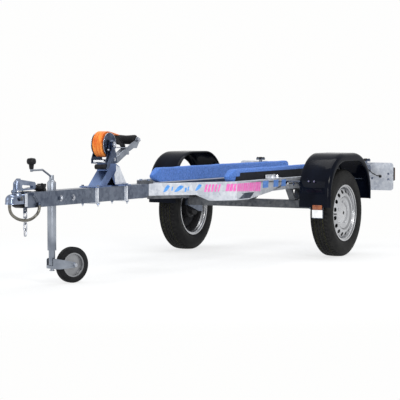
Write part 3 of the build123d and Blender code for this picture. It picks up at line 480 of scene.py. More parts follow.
VENT_RING, VENTS, VENT_TALL, VENT_WIDE, VENT_SIDES = 0.138, 16, 0.0125, 0.0142, 24
NUTS, NUT_RING, NUT_SEAT, NUT_FLATS, NUT_TALL = 5, 0.070, 0.0415, 0.013, 0.0065
DISC_SHEET, BARREL_SHEET, SHADE_RING_FROM, SHADE_RING_TO, SHADE_R, SHADE_OUT = 0.0035, 0.0032, 0.099, 0.109, 0.1575, 0.04
WHEEL_SIDES, SHADE_PLATE_SIDES, CAP_SIDES = 192, 96, 32
# radius from the axle and distance out from the wheel's middle
DISC = [(0.1585, 0.036), (0.1565, 0.042), (0.1515, 0.0468), (0.138, 0.0530), (0.126, 0.0580), (0.116, 0.0600),
        (0.110, 0.0590), (0.104, 0.0540), (0.098, 0.0480), (0.092, 0.0440), (0.084, 0.0422), (0.074, 0.0420),
        (0.064, 0.0440), (0.054, 0.0480), (0.046, 0.0500), (0.030, 0.0506), (0.0125, 0.0508), (0.0112, 0.0500),
        (0.0105, 0.0490), (0.0, 0.0490)]
BARREL = [(0.1815, 0.0615), (0.1815, 0.0575), (0.172, 0.0565), (0.1675, 0.053), (0.166, 0.045), (0.160, 0.034),
          (0.156, 0.014), (0.154, -0.012), (0.160, -0.030), (0.166, -0.044), (0.1675, -0.053), (0.172, -0.0565),
          (0.1815, -0.0575), (0.1815, -0.0615)]
# a dark plate behind the disc: painted shade seen through the vents
SHADE_PLATE = [(0.03, 0.012), (0.122, 0.012), (0.125, 0.004), (0.122, 0.002), (0.118, 0.008), (0.03, 0.008)]
CAP = [(0.0, 0.0491), (0.0105, 0.0491), (0.0105, 0.0506), (0.007, 0.0512), (0.0, 0.0512)]
# the valve's foot, then its bends from the foot
VALVE, VALVE_R = [(0.147, 0.050), (0.006, 0.012), (0.010, 0.020)], 0.0042


def cut_vents(obj, c, out):
    """Cuts the disc's ring of vents."""
    work = bmesh.new()
    for k in range(VENTS):
        a = 2 * math.pi * (k + 0.5) / VENTS
        place = Matrix.Translation(c + Vector((math.cos(a) * VENT_RING, out * 0.05, math.sin(a) * VENT_RING)))
        place = place @ Matrix.Rotation(-a, 4, "Y") @ Matrix.Rotation(QUARTER, 4, "X")
        bmesh.ops.create_cone(work, cap_ends=True, segments=VENT_SIDES, radius1=1.0, radius2=1.0, depth=0.06,
                              matrix=place @ Matrix.Diagonal((VENT_TALL, VENT_WIDE, 1, 1)))
    cut = bpy.data.meshes.new(obj.name + "_vents")
    work.to_mesh(cut)
    work.free()
    cutter = bpy.data.objects.new(obj.name + "_cutter", cut)
    bpy.context.collection.objects.link(cutter)
    holes = obj.modifiers.new("vents", "BOOLEAN")
    holes.object = cutter
    holes.operation = "DIFFERENCE"
    holes.solver = "EXACT"
    bpy.context.view_layer.update()
    done = bpy.data.meshes.new_from_object(obj.evaluated_get(bpy.context.evaluated_depsgraph_get()))
    obj.modifiers.clear()
    obj.data = done
    bpy.data.objects.remove(cutter)


def rim(name, node, body, out):
    """A pressed steel wheel: barrel with drop centre, and a ridged disc with a ring of vents and a low middle."""
    c, _ = middle(node)
    axis = Vector((0, out, 0))

    def turned(profile, count):
        return lathe([(r, w * out) for r, w in profile], c, LEFT, count)

    def inward(face, p):
        facing = face.normal.x * p.x + face.normal.z * p.z
        return math.hypot(p.x, p.z) < SHADE_R and p.y * out < SHADE_OUT and facing < 0

    outer = rounded(DISC)
    inner = [(r, w - DISC_SHEET) for r, w in outer[::-1]]
    disc = piece(name + "_disc", *turned(outer + inner, WHEEL_SIDES), RIM, body)
    cut_vents(disc, c, out)
    creased(disc, 35)
    outer = rounded(BARREL)
    inner = [(r - BARREL_SHEET, w * 0.985) for r, w in outer[::-1]]
    lips = outer + [(0.178, -0.0618), (0.1725, -0.0605)] + inner[2:-2] + [(0.1725, 0.0605), (0.178, 0.0618)]
    barrel = creased(piece(name + "_barrel", *turned(lips, WHEEL_SIDES), RIM, body), 50)
    # the barrel's faces towards the axle are painted dark as shade, with some dirt; the disc's back is painted dark as
    # shade
    repaint(barrel, HUB_AND_SHADE, c, inward)
    repaint(disc, HUB_AND_SHADE, c, lambda face, p: face.normal.y * out < -0.25)
    # a ring of painted shade on the disc's bowl wall
    repaint(disc, RIM_DARK_AND_SHADE, c, lambda face, p: face.material_index == 0 and SHADE_RING_FROM < math.hypot(p.x, p.z) < SHADE_RING_TO)
    # the dark plate behind the disc is painted shade seen through the vents
    piece(name + "_shade_plate", *turned(SHADE_PLATE, SHADE_PLATE_SIDES), HUB_AND_SHADE, body)
    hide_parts(node)
    piece(name + "_cap", *turned(CAP, CAP_SIDES), PLASTIC, body)
    nuts = []
    for k in range(NUTS):
        a = 2 * math.pi * (k + 0.3) / NUTS
        place = c + axis * NUT_SEAT + Vector((math.cos(a), 0, math.sin(a))) * NUT_RING
        nuts.append(hex_bolt(place, axis, NUT_FLATS, NUT_TALL, a))
    creased(piece(name + "_nuts", *join(nuts), RIM, body), 25)
    foot = c + Vector((VALVE[0][0], out * VALVE[0][1], 0))
    line = [foot] + [foot + Vector((x, out * y, 0)) for x, y in VALVE[1:]]
    piece(name + "_valve", *pipe(line, VALVE_R, 12), PLASTIC, body)


for side, out in SIDES:
    tyre(f"road_tyre_{side}", f"tyre_{side}", f"wheel_{side}")
    rim(f"road_wheel_{side}", f"rim_{side}", f"wheel_{side}", out)

# ---- mudguards: a section with a rolled edge carried along the arch
GUARD_HALF, GUARD_ARC, GUARD_TOP, FRONT_FOOT, REAR_FOOT = 338.0, 250.0, 666.0, 331.0, 360.0
GUARD_Y0, GUARD_Y1, SHEET, GUARD_STEPS, EDGE_R, EDGE_FALL, EDGE_STEPS = 0.452, 0.662, 0.003, 24, 0.036, 0.024, 8
ARC_Z = GUARD_TOP - GUARD_ARC


def guard_arc(x, start):
    """A quarter of the arch about x, as points and the directions into the arch."""
    turns = [start + QUARTER * k / GUARD_STEPS for k in range(GUARD_STEPS + 1)]
    return [(at(x + GUARD_ARC * math.cos(a), 0, ARC_Z + GUARD_ARC * math.sin(a)),
             Vector((-math.cos(a), 0, -math.sin(a)))) for a in turns]


def guard_leg(x, levels, inward):
    """The straight run at x, as points and the direction into the arch."""
    return [(at(x, 0, z), Vector(inward)) for z in levels]


guard_path = guard_leg(GUARD_HALF, (FRONT_FOOT, (FRONT_FOOT + ARC_Z) / 2), BACKWARD)
guard_path += guard_arc(GUARD_HALF - GUARD_ARC, 0.0) + guard_arc(GUARD_ARC - GUARD_HALF, QUARTER)
guard_path += guard_leg(-GUARD_HALF, ((REAR_FOOT + ARC_Z) / 2, REAR_FOOT), FORWARD)


def guard_section(skirt):
    """Points of (depth, y) round the guard's sheet: a flat crown, a wide rounding into a skirt with a turned lip."""
    wide = GUARD_Y1 - GUARD_Y0
    line = [(0.010, 0.0), (0.003, 0.0), (0.0, 0.004), (0.0, 0.03), (0.0, 0.09), (0.0, 0.15)]
    for k in range(EDGE_STEPS + 1):
        a = QUARTER * k / EDGE_STEPS
        line.append((EDGE_FALL * (1 - math.cos(a)), wide - EDGE_R + EDGE_R * math.sin(a)))
    line += [(skirt * 0.8, wide), (skirt - 0.004, wide), (skirt, wide - 0.002), (skirt + 0.001, wide - 0.008)]
    inside = []
    for k, (d, y) in enumerate(line):
        a, b = line[max(k - 1, 0)], line[min(k + 1, len(line) - 1)]
        run = Vector((b[0] - a[0], b[1] - a[1])).normalized()
        inside.append((d + run.y * SHEET, y - run.x * SHEET))
    return line + inside[::-1]


def skirt_depth(share):
    """The skirt is deepest over the crown and shallow at the front foot."""
    return 0.030 + 0.020 * math.sin(math.pi * min(1.0, max(0.0, share * 1.12 - 0.06))) ** 0.8


for side, out in SIDES:
    verts, count = [], len(guard_path)
    for k, (p, normal) in enumerate(guard_path):
        section = guard_section(skirt_depth(k / (count - 1)))
        verts += [p + normal * d + Vector((0, out * (GUARD_Y0 + y), 0)) for d, y in section]
    n = len(section)
    faces = quads(count, n)
    for end in (0, (count - 1) * n):
        faces += [(end + i, end + i + 1, end + n - 2 - i, end + n - 1 - i) for i in range(n // 2 - 1)]
    creased(piece(f"guard_{side}", verts, faces, GUARD, "frame", node=f"mudguard_{side}"), 40)


# ---- bunks: carpet over the whole inner side and the upper part of the outer one; below it a stepped-in band painted near-black as shadow
BUNK_STEPS, BUNK_RING, NOSE_LONG, TAIL_LONG, NOSE_POINT = 300, 56, 0.085, 0.05, 1.45
SQUARE_Y, SQUARE_Z, FUZZ, FOLD, BAND_STEP = 0.32, 0.36, 0.0016, 0.0012, 0.0035


def shadow_top(x, front):
    """How high the painted shadow band reaches on the outer side over the bunk's middle, lower towards the nose."""
    return 0.014 - 0.055 * max(0.0, 1 - (front - x) / 0.17) ** 1.5 + 0.0015 * math.sin(x * 31)


def bunk(name, node, out):
    """A bunk with a blunt tail and a pointed nose; its outer side is stepped in below the carpet's edge and painted
    near-black there as shadow.
    """
    c, size = middle(node)
    half_y, half_z, x0, x1 = size.y / 2, size.z / 2, c.x - size.x / 2, c.x + size.x / 2
    verts = []
    for k in range(BUNK_STEPS + 1):
        x = x0 + size.x * k / BUNK_STEPS
        front, rear = min(1.0, (x1 - x) / NOSE_LONG), min(1.0, (x - x0) / TAIL_LONG)
        nose = (1 - (1 - front) ** NOSE_POINT) * math.sqrt(max(0.0, 1 - (1 - rear) ** 2))
        for i in range(BUNK_RING):
            a = 2 * math.pi * i / BUNK_RING
            ca, sa = math.cos(a), math.sin(a)
            y = half_y * math.copysign(abs(ca) ** SQUARE_Y, ca) * (0.5 + 0.5 * nose)
            z = half_z * math.copysign(abs(sa) ** SQUARE_Z, sa) * (0.16 + 0.84 * nose) - half_z * 0.1 * (1 - nose)
            p = Vector((x, c.y + y, c.z + z))
            band_in = BAND_STEP if y * out > half_y * 0.5 and z < shadow_top(x, x1) else 0.0
            fold = FOLD * max(0.0, math.sin(x * 9 + 3 * math.sin(x * 4))) * (1 if sa > -0.5 else 0)
            lump = noise.noise(p * 9) * 0.0018 + noise.noise(p * 46) * 0.0009 - FUZZ - fold - band_in
            verts.append(p + Vector((0, ca, sa)) * lump)
    faces = quads(BUNK_STEPS + 1, BUNK_RING)
    faces += [tuple(range(BUNK_RING)), tuple(BUNK_STEPS * BUNK_RING + i for i in range(BUNK_RING))]
    obj = piece(name, verts, faces, CARPET, "frame", node=node)

    def shadow_face(face, _):
        m = face.center
        below = m.z < c.z + shadow_top(m.x, x1) + 0.001
        return (m.y - c.y) * out > half_y * 0.45 and below and x0 + 0.02 < m.x < x1 - 0.07

    # the stepped-in band low on the outer side is painted near-black as shadow
    repaint(obj, BUNK_SHADOW, c, shadow_face)


for side, out in SIDES:
    bunk(f"carpet_{side}", f"bunk_{side}", out)


# ---- film stripes on the rails: waves and slanted bars of this model's own
RAIL_Y, RAIL_FRONT_X, RAIL_BEND_X, FILM_LOW, FILM_HIGH, FILM_OFF = 350.0, 1485.0, 980.0, 456.0, 502.0, 0.4
RUN_X, RUN_Y = RAIL_FRONT_X - RAIL_BEND_X, RAIL_Y - 40.0
WEB = math.hypot(RUN_X, RUN_Y)
BAR_STEPS, WAVE_STEPS = 6, 16
# the patch of painted shade low on each rail's belly: height, then x at its front and rear
SHADE_PATCH_LOW, SHADE_PATCH_HIGH = (407, 1024, 806), (441, 939, 752)


def on_web(along, z, side):
    """A point on a rail's outer web, measured along it from the front end."""
    if along < WEB:
        x, y = RAIL_FRONT_X - RUN_X * along / WEB, RAIL_Y - RUN_Y * (1 - along / WEB)
        x, y = x + FILM_OFF * RUN_Y / WEB, y + FILM_OFF * RUN_X / WEB
    else:
        x, y = RAIL_BEND_X - (along - WEB), RAIL_Y + FILM_OFF
    return at(x, side * y, z)


def film(name, ribbons, material, side):
    """Ribbons between a lower and an upper line of (along, z) laid on the web."""
    parts = []
    for lower, upper in ribbons:
        verts = [on_web(a, z, side) for a, z in lower + upper]
        parts.append((verts, quads(2, len(lower), closed=False)))
    piece(name, *join(parts), material, "frame", smooth=False)


def level(start, width, z):
    """A line along the web at height z."""
    return [(start + width * k / BAR_STEPS, z) for k in range(BAR_STEPS + 1)]


def bar(start, width, low, high, lean):
    """A slanted bar; its top stands lean further along than its foot."""
    return level(start, width, FILM_LOW + low), level(start + lean, width, FILM_HIGH + high)


def wave(start, length, low, high):
    """A crescent like a breaking wave."""
    low, high = FILM_LOW + low, FILM_HIGH + high
    lower, upper = [], []
    for k in range(WAVE_STEPS + 1):
        t = k / WAVE_STEPS
        crest = 0.1 + 0.9 * math.sin(math.pi * (0.08 + 0.62 * t))
        lower.append((start + length * t, low + (high - low) * (0.1 + 0.75 * t ** 2.2)))
        upper.append((start + length * (0.1 + 0.86 * t), low + (high - low) * crest))
    return lower, upper


def shade_patch_line(z, front, rear):
    """A line between two places given by their x, behind the bend."""
    a, b = WEB + RAIL_BEND_X - front, WEB + RAIL_BEND_X - rear
    return level(a, b - a, z)


short_bars = [bar(368 + 23 * k, 15 - k, 0, -2, 12) for k in range(5)]
long_bars = [bar(514 + 26 * k, 23 - k % 3 * 2, 1 - k, -2, 10) for k in range(15)]
for tag, side in SIDES:
    film(f"film_waves_{tag}", [wave(96, 46, 0, 0), wave(168, 66, 0, -4), wave(308, 46, 4, 0)], BLUE, side)
    film(f"film_dashes_{tag}", [bar(236, 12, 4, -18, 5), bar(256, 8, 10, -12, 5), bar(148, 9, 12, -10, 6)], BLUE, side)
    film(f"film_bars_{tag}", short_bars + long_bars, PINK, side)
    # a darker galvanised patch low on the belly: painted shade
    film(f"film_patch_{tag}", [(shade_patch_line(*SHADE_PATCH_LOW), shade_patch_line(*SHADE_PATCH_HIGH))], GALV, side)
    film(f"film_blocks_{tag}", [bar(930, 76, 5, 2, 6), bar(1078, 68, 5, 2, 6), bar(1190, 62, 5, 2, 6)], NAVY, side)


# ---- small parts
BEVEL_STEPS, KNOB_STEPS = 3, 12
KNOB_STEM = [(0.0, -0.03), (0.0075, -0.03), (0.0075, 0.0), (0.0115, 0.002), (0.0125, 0.016), (0.010, 0.020),
             (0.0, 0.020)]


def block(name, low, high, radius, material, body, node=None):
    """A box between two corners in mm with rounded edges."""
    a, b = at(*low), at(*high)
    size = [abs(q - p) for p, q in zip(a, b)]
    work = bmesh.new()
    bmesh.ops.create_cube(work, size=1.0, matrix=Matrix.Translation((a + b) / 2) @ Matrix.Diagonal((*size, 1)))
    bmesh.ops.bevel(work, geom=list(work.edges), offset=radius / 1000, segments=BEVEL_STEPS, profile=0.5,
                    affect="EDGES")
    work.verts.index_update()
    verts = [v.co.copy() for v in work.verts]
    faces = [tuple(v.index for v in f.verts) for f in work.faces]
    work.free()
    return creased(piece(name, verts, faces, material, body, node=node), 40)


def mirrored(s, low, high):
    """Two corners given for the left side, for side s."""
    y0, y1 = sorted((s * low[1], s * high[1]))
    return (low[0], y0, low[2]), (high[0], y1, high[2])


def knob(name, c, width, material, body):
    """A T-shaped hand screw: stem, boss and a rounded bar."""
    ways = [width * (k / KNOB_STEPS - 0.5) for k in range(KNOB_STEPS + 1)]
    arm = [c + Vector((0, w / 1000, 0.012 + 0.003 * abs(w) / width)) for w in ways]
    grip = pipe(arm, lambda t: 0.0045 + 0.0035 * abs(2 * t - 1) ** 2 if 0.0 < t < 1.0 else 0.005, 14)
    return creased(piece(name, *join([lathe(KNOB_STEM, c, UP, 24), grip]), material, body), 40)


STAND_X, STRAP_Y = (2035.0, 1735.0), 50.0
rows = []
for x in STAND_X:
    for y in (-STRAP_Y, STRAP_Y):
        rows += [(x, y, 425, DOWN, 13, 8), (x, y, 518, UP, 13, 8)]
bolts("stand_nuts", rows, ZINC, "frame")
bolts("bar_bolts", [(2378, 40.2, 469, LEFT, 17, 9), (2262, 40.2, 468, LEFT, 17, 9), (2378, -40.2, 469, RIGHT, 17, 9)],
      CHROME, "frame")
bolts("coupling_bolts", [(2728, s * 40, 484, (0, s, 0), 14, 5) for s in (1, -1)], GALV_WORN_AND_SHADE, "frame")
# pale strips on the neck's sides: painted highlight where the head's flanks flare out
for tag, s in SIDES:
    block(f"neck_strip_{tag}", *mirrored(s, (2680, 40.2, 440), (2703, 42.6, 508)), 1.0, GALV_PALE, "frame")
block("neck_deck", (2606, -15, 511.5), (2690, 15, 516.6), 2.0, GALV_WORN_AND_SHADE, "frame")

# ---- coupling head: one pressed shell, boxy at the neck and a dome over the ball, open below
BALL_X, BALL_Z, HEAD_FOOT, HEAD_TOP, DOME, SKIRT = 2765.0, 476.0, 455.0, 506.5, 30.5, 14
DOME_STEPS, ARCH_STEPS, TOWER_X = 14, 40, 2718
# x, half width, top and squareness of the arches behind the ball
NECK = [(2677.0, 39.5, 505.5, 7.0), (2684.0, 40.0, 506.3, 6.0), (2693.0, 39.4, HEAD_TOP, 5.2),
        (2704.0, 36.4, HEAD_TOP, 4.2), (2716.0, 33.2, HEAD_TOP, 3.2), (2732.0, 31.4, HEAD_TOP, 2.6),
        (2748.0, 30.6, HEAD_TOP, 2.2)]
CABLE_EYE = [(0.0, 0.0), (0.0085, 0.0), (0.009, 0.0008), (0.009, 0.0085), (0.0075, 0.010), (0.0, 0.010)]
TOWER_COLLAR = [(0.0200, 0.0), (0.0200, 0.0125), (0.0212, 0.0140), (0.0230, 0.0125), (0.0250, 0.0085),
                (0.0275, 0.0035), (0.0295, -0.004), (0.0200, -0.004)]
COVER_FOOT = [(0.0212, 0.0), (0.0208, 0.0014), (0.0192, 0.007), (0.0182, 0.013), (0.0178, 0.022), (0.0178, 0.034)]


def shell(inset, lip):
    """Arches across the head, from the neck forward; inset shrinks it for the inside."""
    r, arches = DOME - inset, []
    stations = [(x, w - inset, top - inset, square, 1.0) for x, w, top, square in NECK]
    for k in range(DOME_STEPS + 1):
        a = QUARTER * k / DOME_STEPS
        stations.append((BALL_X + r * math.sin(a), r * math.cos(a), BALL_Z + r * math.cos(a), 2.0, 1.0 + lip / r))
    for x, w, top, square, wide in stations:
        ahead, arch = x - BALL_X, []
        for k in range(ARCH_STEPS + 1):
            a = math.pi * k / ARCH_STEPS
            across = w * math.copysign(abs(math.cos(a)) ** (2 / square), math.cos(a))
            arch.append(at(x, across, BALL_Z + (top - BALL_Z) * math.sin(a) ** (2 / square)))
        reach = lip * (w / r) if ahead >= 0 else lip * 0.4
        foot_x = x + max(0.0, ahead) * (wide - 1)
        legs = [[at(x, s * w, BALL_Z - SKIRT), at(foot_x, s * (w + reach), HEAD_FOOT)] for s in (1, -1)]
        arches.append(legs[0][::-1] + arch + legs[1])
    return arches


outside, inside = shell(0.0, 2.3), shell(4.8, 1.0)
n, count = len(outside[0]), len(outside)
within = count * n
faces = quads(count, n, closed=False) + quads(count, n, within, closed=False)
for i in (0, n - 1):
    faces += [(k * n + i, (k + 1) * n + i, within + (k + 1) * n + i, within + k * n + i) for k in range(count - 1)]
faces += [(i, i + 1, within + i + 1, within + i) for i in range(n - 1)]
parts = [([v for arch in outside + inside for v in arch], faces), lathe(CABLE_EYE, at(2797, 13, HEAD_FOOT), UP, 32),
         lathe(TOWER_COLLAR, at(TOWER_X, 0, 500), UP, 64)]
creased(piece("coupling_shell", *join(parts), ZINC, "frame", node="coupling_head"), 35)
turns = [math.radians(t) for t in range(10, 90, 8)]
outer = COVER_FOOT + [(0.0178 * math.cos(a), 0.034 + 0.0182 * math.sin(a)) for a in turns]
inner = [(max(0.0002, r - 0.0015), w - 0.0012) for r, w in outer[:0:-1]]
cover = outer + [(0.0, 0.0522), (0.0, 0.0505)] + inner + [(0.0195, 0.0004)]
creased(piece("tower_cover", *lathe(cover, at(TOWER_X, 0, 523), UP, 64), ZINC, "lever"), 40)
bolts("pivot_bolts", [(2732, s * 17.9, 518.5, (0, s, 0), 8, 3) for s in (1, -1)], CHROME, "lever")

rows = []
for s in (1, -1):
    rows += [(GUARD_HALF, s * y, 494, FORWARD, 6.5, 3.5) for y in (519, 556)]
    rows += [(-GUARD_HALF, s * 510, z, BACKWARD, 10, 5) for z in (430, 480)]
bolts("guard_bolts", rows, ZINC, "frame")
rows = [(x, s * RAIL_Y, z, (0, s, 0), 13, 6) for s in (1, -1) for x, z in ((205, 470), (120, 470), (-735, 476))]
bolts("rail_bolts", rows, ZINC, "frame")
bolts("plate_bolts", [(1461, s * 26, 530, UP, 17, 8) for s in (1, -1)], ZINC, "frame")

# ---- angle brackets that carry the bunks over the rails, their near-white colour a painted highlight
for tag, s in SIDES:
    block(f"bunk_angle_{tag}", *mirrored(s, (352, 292, 512), (486, 346, 516)), 1.2, BRACKET_HIGHLIGHT, "frame")
    block(f"bunk_angle_web_{tag}", *mirrored(s, (352, 290, 512), (486, 294, 536)), 1.2, BRACKET_HIGHLIGHT, "frame")
    bolts(f"bunk_angle_bolts_{tag}", [(x, s * 322, 516, UP, 15, 15) for x in (384, 452)], BRACKET_HIGHLIGHT, "frame")

# ---- markers: amber over white, on the left guard's foot
block("marker_white", (338.5, 546, 266.5), (345.6, 616, 316), 1.5, WHITE, "frame", "front_markers")
block("marker_amber", (338.5, 549, 317), (345.2, 613, 346), 1.5, AMBER, "frame")

# ---- light boards: dark housings with red and amber lenses, T-screws and a lead
BOARD_X, LENS_DEEP = -865, 15
LAMP_LEAD = [(-812, 431, 535), (-820, 452, 512), (-842, 478, 492), (-862, 494, 486), (-867, 500, 485)]
GROMMET = [(0.0, 0.0), (0.010, 0.0), (0.010, 0.004), (0.0065, 0.0075), (0.0, 0.0075)]
for tag, s in SIDES:
    light = f"light_{tag}"
    c, size = middle(f"lamp_{tag}")
    x0, x1 = (c.x - size.x / 2) * 1000 - AX, (c.x + size.x / 2) * 1000 - AX
    y0, y1 = abs(c.y * 1000) - size.y * 500, abs(c.y * 1000) + size.y * 500
    z0, z1 = c.z * 1000 - size.z * 500, c.z * 1000 + size.z * 500
    block(f"lamp_body_{tag}", *mirrored(s, (x0 + 14, y0, z0), (x1, y1, z1)), 5, PLASTIC, light, f"lamp_{tag}")
    red = mirrored(s, (x0, y0 + 4, z0 + 3), (x0 + LENS_DEEP, y0 + 120, z1 - 3))
    block(f"lamp_red_{tag}", *red, 5, RED, light)
    amber = mirrored(s, (x0, y0 + 122, z0 + 3), (x0 + LENS_DEEP, y1 - 4, z1 - 3))
    block(f"lamp_amber_{tag}", *amber, 5, AMBER, light)
    knob(f"sleeve_knob_{tag}", at(-820, s * 410, 589), 60, PLASTIC, "frame")
    piece(f"lamp_lead_{tag}", *pipe(route([at(x, s * y, z) for x, y, z in LAMP_LEAD]), 0.0035, 12), PLASTIC, light)
    piece(f"lamp_grommet_{tag}", *lathe(GROMMET, at(BOARD_X, s * 500, 485), FORWARD, 32), PLASTIC, light)
    rows = [(BOARD_X, s * y, z, FORWARD, 8, 4) for y, z in ((560, 503), (440, 470), (560, 465))]
    bolts(f"lamp_bolts_{tag}", rows, ZINC, light)

# ---- safety chain: smooth links, each turned a quarter against the last
WIRE, BEND, HALF, LINKS, LINK_STEPS, WIRE_SIDES = 3.6, 8.5, 10.5, 4, 40, 14
CHAIN_X, CHAIN_Y, CHAIN_TOP = 2655, 8, 414.3
PITCH = 2 * (HALF + BEND) - 2 * 3.8 - 0.3


def chain_link(centre, wire, bend, half, across):
    """A closed link standing upright, its plane along across."""
    line, verts = [], []
    for k in range(LINK_STEPS):
        a = 2 * math.pi * k / LINK_STEPS
        up = math.copysign(half, math.sin(a)) + bend * math.sin(a)
        line.append(centre + across * (bend * math.cos(a)) + Vector((0, 0, up)))
    normal = across.cross(Vector(UP))
    for k, p in enumerate(line):
        way = (line[(k + 1) % LINK_STEPS] - line[k - 1]).normalized()
        side = normal.cross(way).normalized()
        verts += [p + around(normal, side, 2 * math.pi * i / WIRE_SIDES) * wire for i in range(WIRE_SIDES)]
    return verts, quads(LINK_STEPS, WIRE_SIDES, ring=True)


links = []
for k in range(LINKS):
    centre = at(CHAIN_X, CHAIN_Y, CHAIN_TOP - HALF - BEND - k * PITCH)
    links.append(chain_link(centre, WIRE / 1000, BEND / 1000, HALF / 1000, Vector((LEFT, FORWARD)[k % 2])))
piece("chain_links", *join(links), CHROME, "frame", node="safety_chain")

# ---- winch: strap wound in turns, its tail drawn to a hook; bolted cheeks and a ratchet wheel
DRUM_X, DRUM_Z, STRAP_R, STRAP_HALF, STRAP_THICK, TURN_RISE = 1899.0, 746.0, 74.0, 27.5, 2.3, 2.9
TURNS, TURN_STEPS, TOP_R = 15, 64, STRAP_R - 1.2
verts = []
for k in range(TURNS * TURN_STEPS + 1):
    a = QUARTER - 2 * math.pi * k / TURN_STEPS
    r = TOP_R - TURN_RISE * k / TURN_STEPS
    wide = STRAP_HALF + 0.9 * math.sin(k // TURN_STEPS * 2.4) + 0.5 * math.sin(k * 0.05)
    for dr, y in ((0.0, -wide), (0.0, wide), (-STRAP_THICK, wide), (-STRAP_THICK, -wide)):
        verts.append(at(DRUM_X + math.cos(a) * (r + dr), y, DRUM_Z + math.sin(a) * (r + dr)))
wound = (verts, quads(TURNS * TURN_STEPS + 1, 4))
line = [(1901.0, DRUM_Z + STRAP_R - 1.2), (1886, 817.6), (1850, 812), (1812, 804.5), (1779, 798)]
section = ((0.0, -STRAP_HALF), (0.0, STRAP_HALF), (-STRAP_THICK, STRAP_HALF), (-STRAP_THICK, -STRAP_HALF))
tail = ([at(x, y, z + dz) for x, z in line for dz, y in section], quads(len(line), 4))
core = lathe([(0.010, -0.030), (0.031, -0.030), (0.031, 0.030), (0.010, 0.030)], at(DRUM_X, 0, DRUM_Z), LEFT, 48)
creased(piece("strap_wound", *join([wound, tail, core]), STRAP, "frame", node="winch_strap"), 40)


def toothed(centre, axis, root, tip, teeth, thick):
    """A flat ratchet wheel."""
    side = Vector(FORWARD)
    other, teeth_line = axis.cross(side), []
    for k in range(teeth):
        for t, r in ((0.0, root), (0.35, tip), (0.6, tip), (0.75, root)):
            teeth_line.append(around(side, other, 2 * math.pi * (k + t) / teeth) * r)
    n = len(teeth_line)
    verts = [centre + p for p in teeth_line] + [centre + p + axis * thick for p in teeth_line]
    faces = quads(2, n) + [(2 * n, (i + 1) % n, i) for i in range(n)]
    faces += [(2 * n + 1, n + i, n + (i + 1) % n) for i in range(n)]
    return verts + [centre, centre + axis * thick], faces


ratchet = toothed(at(DRUM_X, 50.3, DRUM_Z), Vector(LEFT), 0.024, 0.028, 18, 0.0035)
creased(piece("winch_ratchet", *ratchet, ZINC, "frame"), 25)
rows = [(DRUM_X, 70, DRUM_Z, LEFT, 17, 8), (1926, 52, 658, LEFT, 10, 5), (1862, 50, 662, LEFT, 10, 5)]
rows += [(x, y, 646, UP, 13, 6) for x in (1846, 1942) for y in (30, -30)]
bolts("winch_bolts", rows + [(1659, s * 84, 768, (0, s, 0), 13, 7) for s in (1, -1)], CHROME, "frame")
# a thin polished ring on each drum flange's edge: a rolled lip that carries a painted highlight
FLANGE_R, LIP_R, LIP_Y = 0.0650, 0.0012, 40.2
lip = [(FLANGE_R + LIP_R * math.cos(a), LIP_R * math.sin(a)) for a in [math.pi * k / 4 for k in range(8)]]
for tag, s in SIDES[::-1]:
    piece(f"flange_lip_{tag}", *lathe(lip, at(DRUM_X, s * LIP_Y, DRUM_Z), LEFT, 96), CHROME, "frame")
block("winch_pawl", (1868, 50.5, 712), (1938, 54, 722), 1.2, CHROME, "frame")
block("winch_label", (1951, -34, 649), (1953, 34, 660), 0.6, WHITE, "frame")

# gusset plates on the rear leg's sides, painted paler than the stand as its lit face
STAND_WEB = [(1836, 522), (1718, 522), (1791, 616), (1828, 630), (1828, 598), (1846, 577)]
n = len(STAND_WEB)
for tag, s in SIDES:
    verts = [at(x, s * y, z) for y in (36.1, 36.9) for x, z in STAND_WEB]
    faces = [tuple(range(n)), tuple(range(n, 2 * n))] + quads(2, n)
    piece(f"stand_web_{tag}", verts, faces, GALV_PALE, "frame", smooth=False)

# ---- jockey wheel: a ribbed tyre
JOCKEY_TURN = math.radians(22.0)
TRAIL = Vector((-math.cos(JOCKEY_TURN), math.sin(JOCKEY_TURN), 0))
ACROSS = Vector((TRAIL.y, -TRAIL.x, 0))
TRAIL_M, RIBS, RIB_FROM, RIB_PITCH = 0.128, 4, -0.0118, 0.0072
WALL = [(0.066, 0.0205), (0.070, 0.0235), (0.080, 0.0248), (0.0905, 0.0215), (0.0955, 0.0150)]
ribs = []
for k in range(RIBS):
    y = RIB_FROM + RIB_PITCH * k
    ribs += [(0.0975, y), (0.0976, y + 0.0050), (0.0952, y + 0.0056), (0.0952, y + 0.0068)]
tread = [(r, -y) for r, y in WALL] + ribs[:-2] + WALL[::-1]
small_tyre = lathe(tread, at(2296, -76, 98) + TRAIL * TRAIL_M, ACROSS, 96)
creased(piece("small_tyre", *small_tyre, RUBBER, "jockey_wheel", node="jockey_tyre"), 30)


# ---- light: plain and soft, from above and in front
def area(name, place, target, size, power, colour=(1, 1, 1)):
    """A square light at place, aimed at target."""
    lamp = bpy.data.lights.new(name, "AREA")
    lamp.size = size
    lamp.energy = power
    lamp.color = colour
    obj = bpy.data.objects.new(name, lamp)
    obj.location = place
    obj.rotation_euler = (Vector(target) - Vector(place)).to_track_quat("-Z", "Y").to_euler()
    bpy.context.collection.objects.link(obj)
    return lamp


area("key", (4.5, 5.5, 5.0), (0, 0, 0.4), 2.0, 300, (1.0, 0.98, 0.95))
area("fill", (6.0, -4.0, 3.0), (0, 0, 0.4), 4.0, 70, (0.9, 0.95, 1.0))
area("top", (-1.0, 0.0, 6.0), (0, 0, 0), 4.0, 220)
strip = area("strip", (9.4, 7.4, 1.6), (0.4, 0, 0.5), 1.0, 260)
strip.shape, strip.size, strip.size_y = "RECTANGLE", 1.8, 3.4

SKY, SKY_POWER, PAPER = (0.86, 0.92, 1.0, 1), 0.55, (0.99, 0.99, 0.985, 1)
FLOOR_HALF, FLOOR_DROP, FADE_FROM, FADE_TO, FADE_NEAR = 60, 0.0005, 1.2, 3.2, 0.72


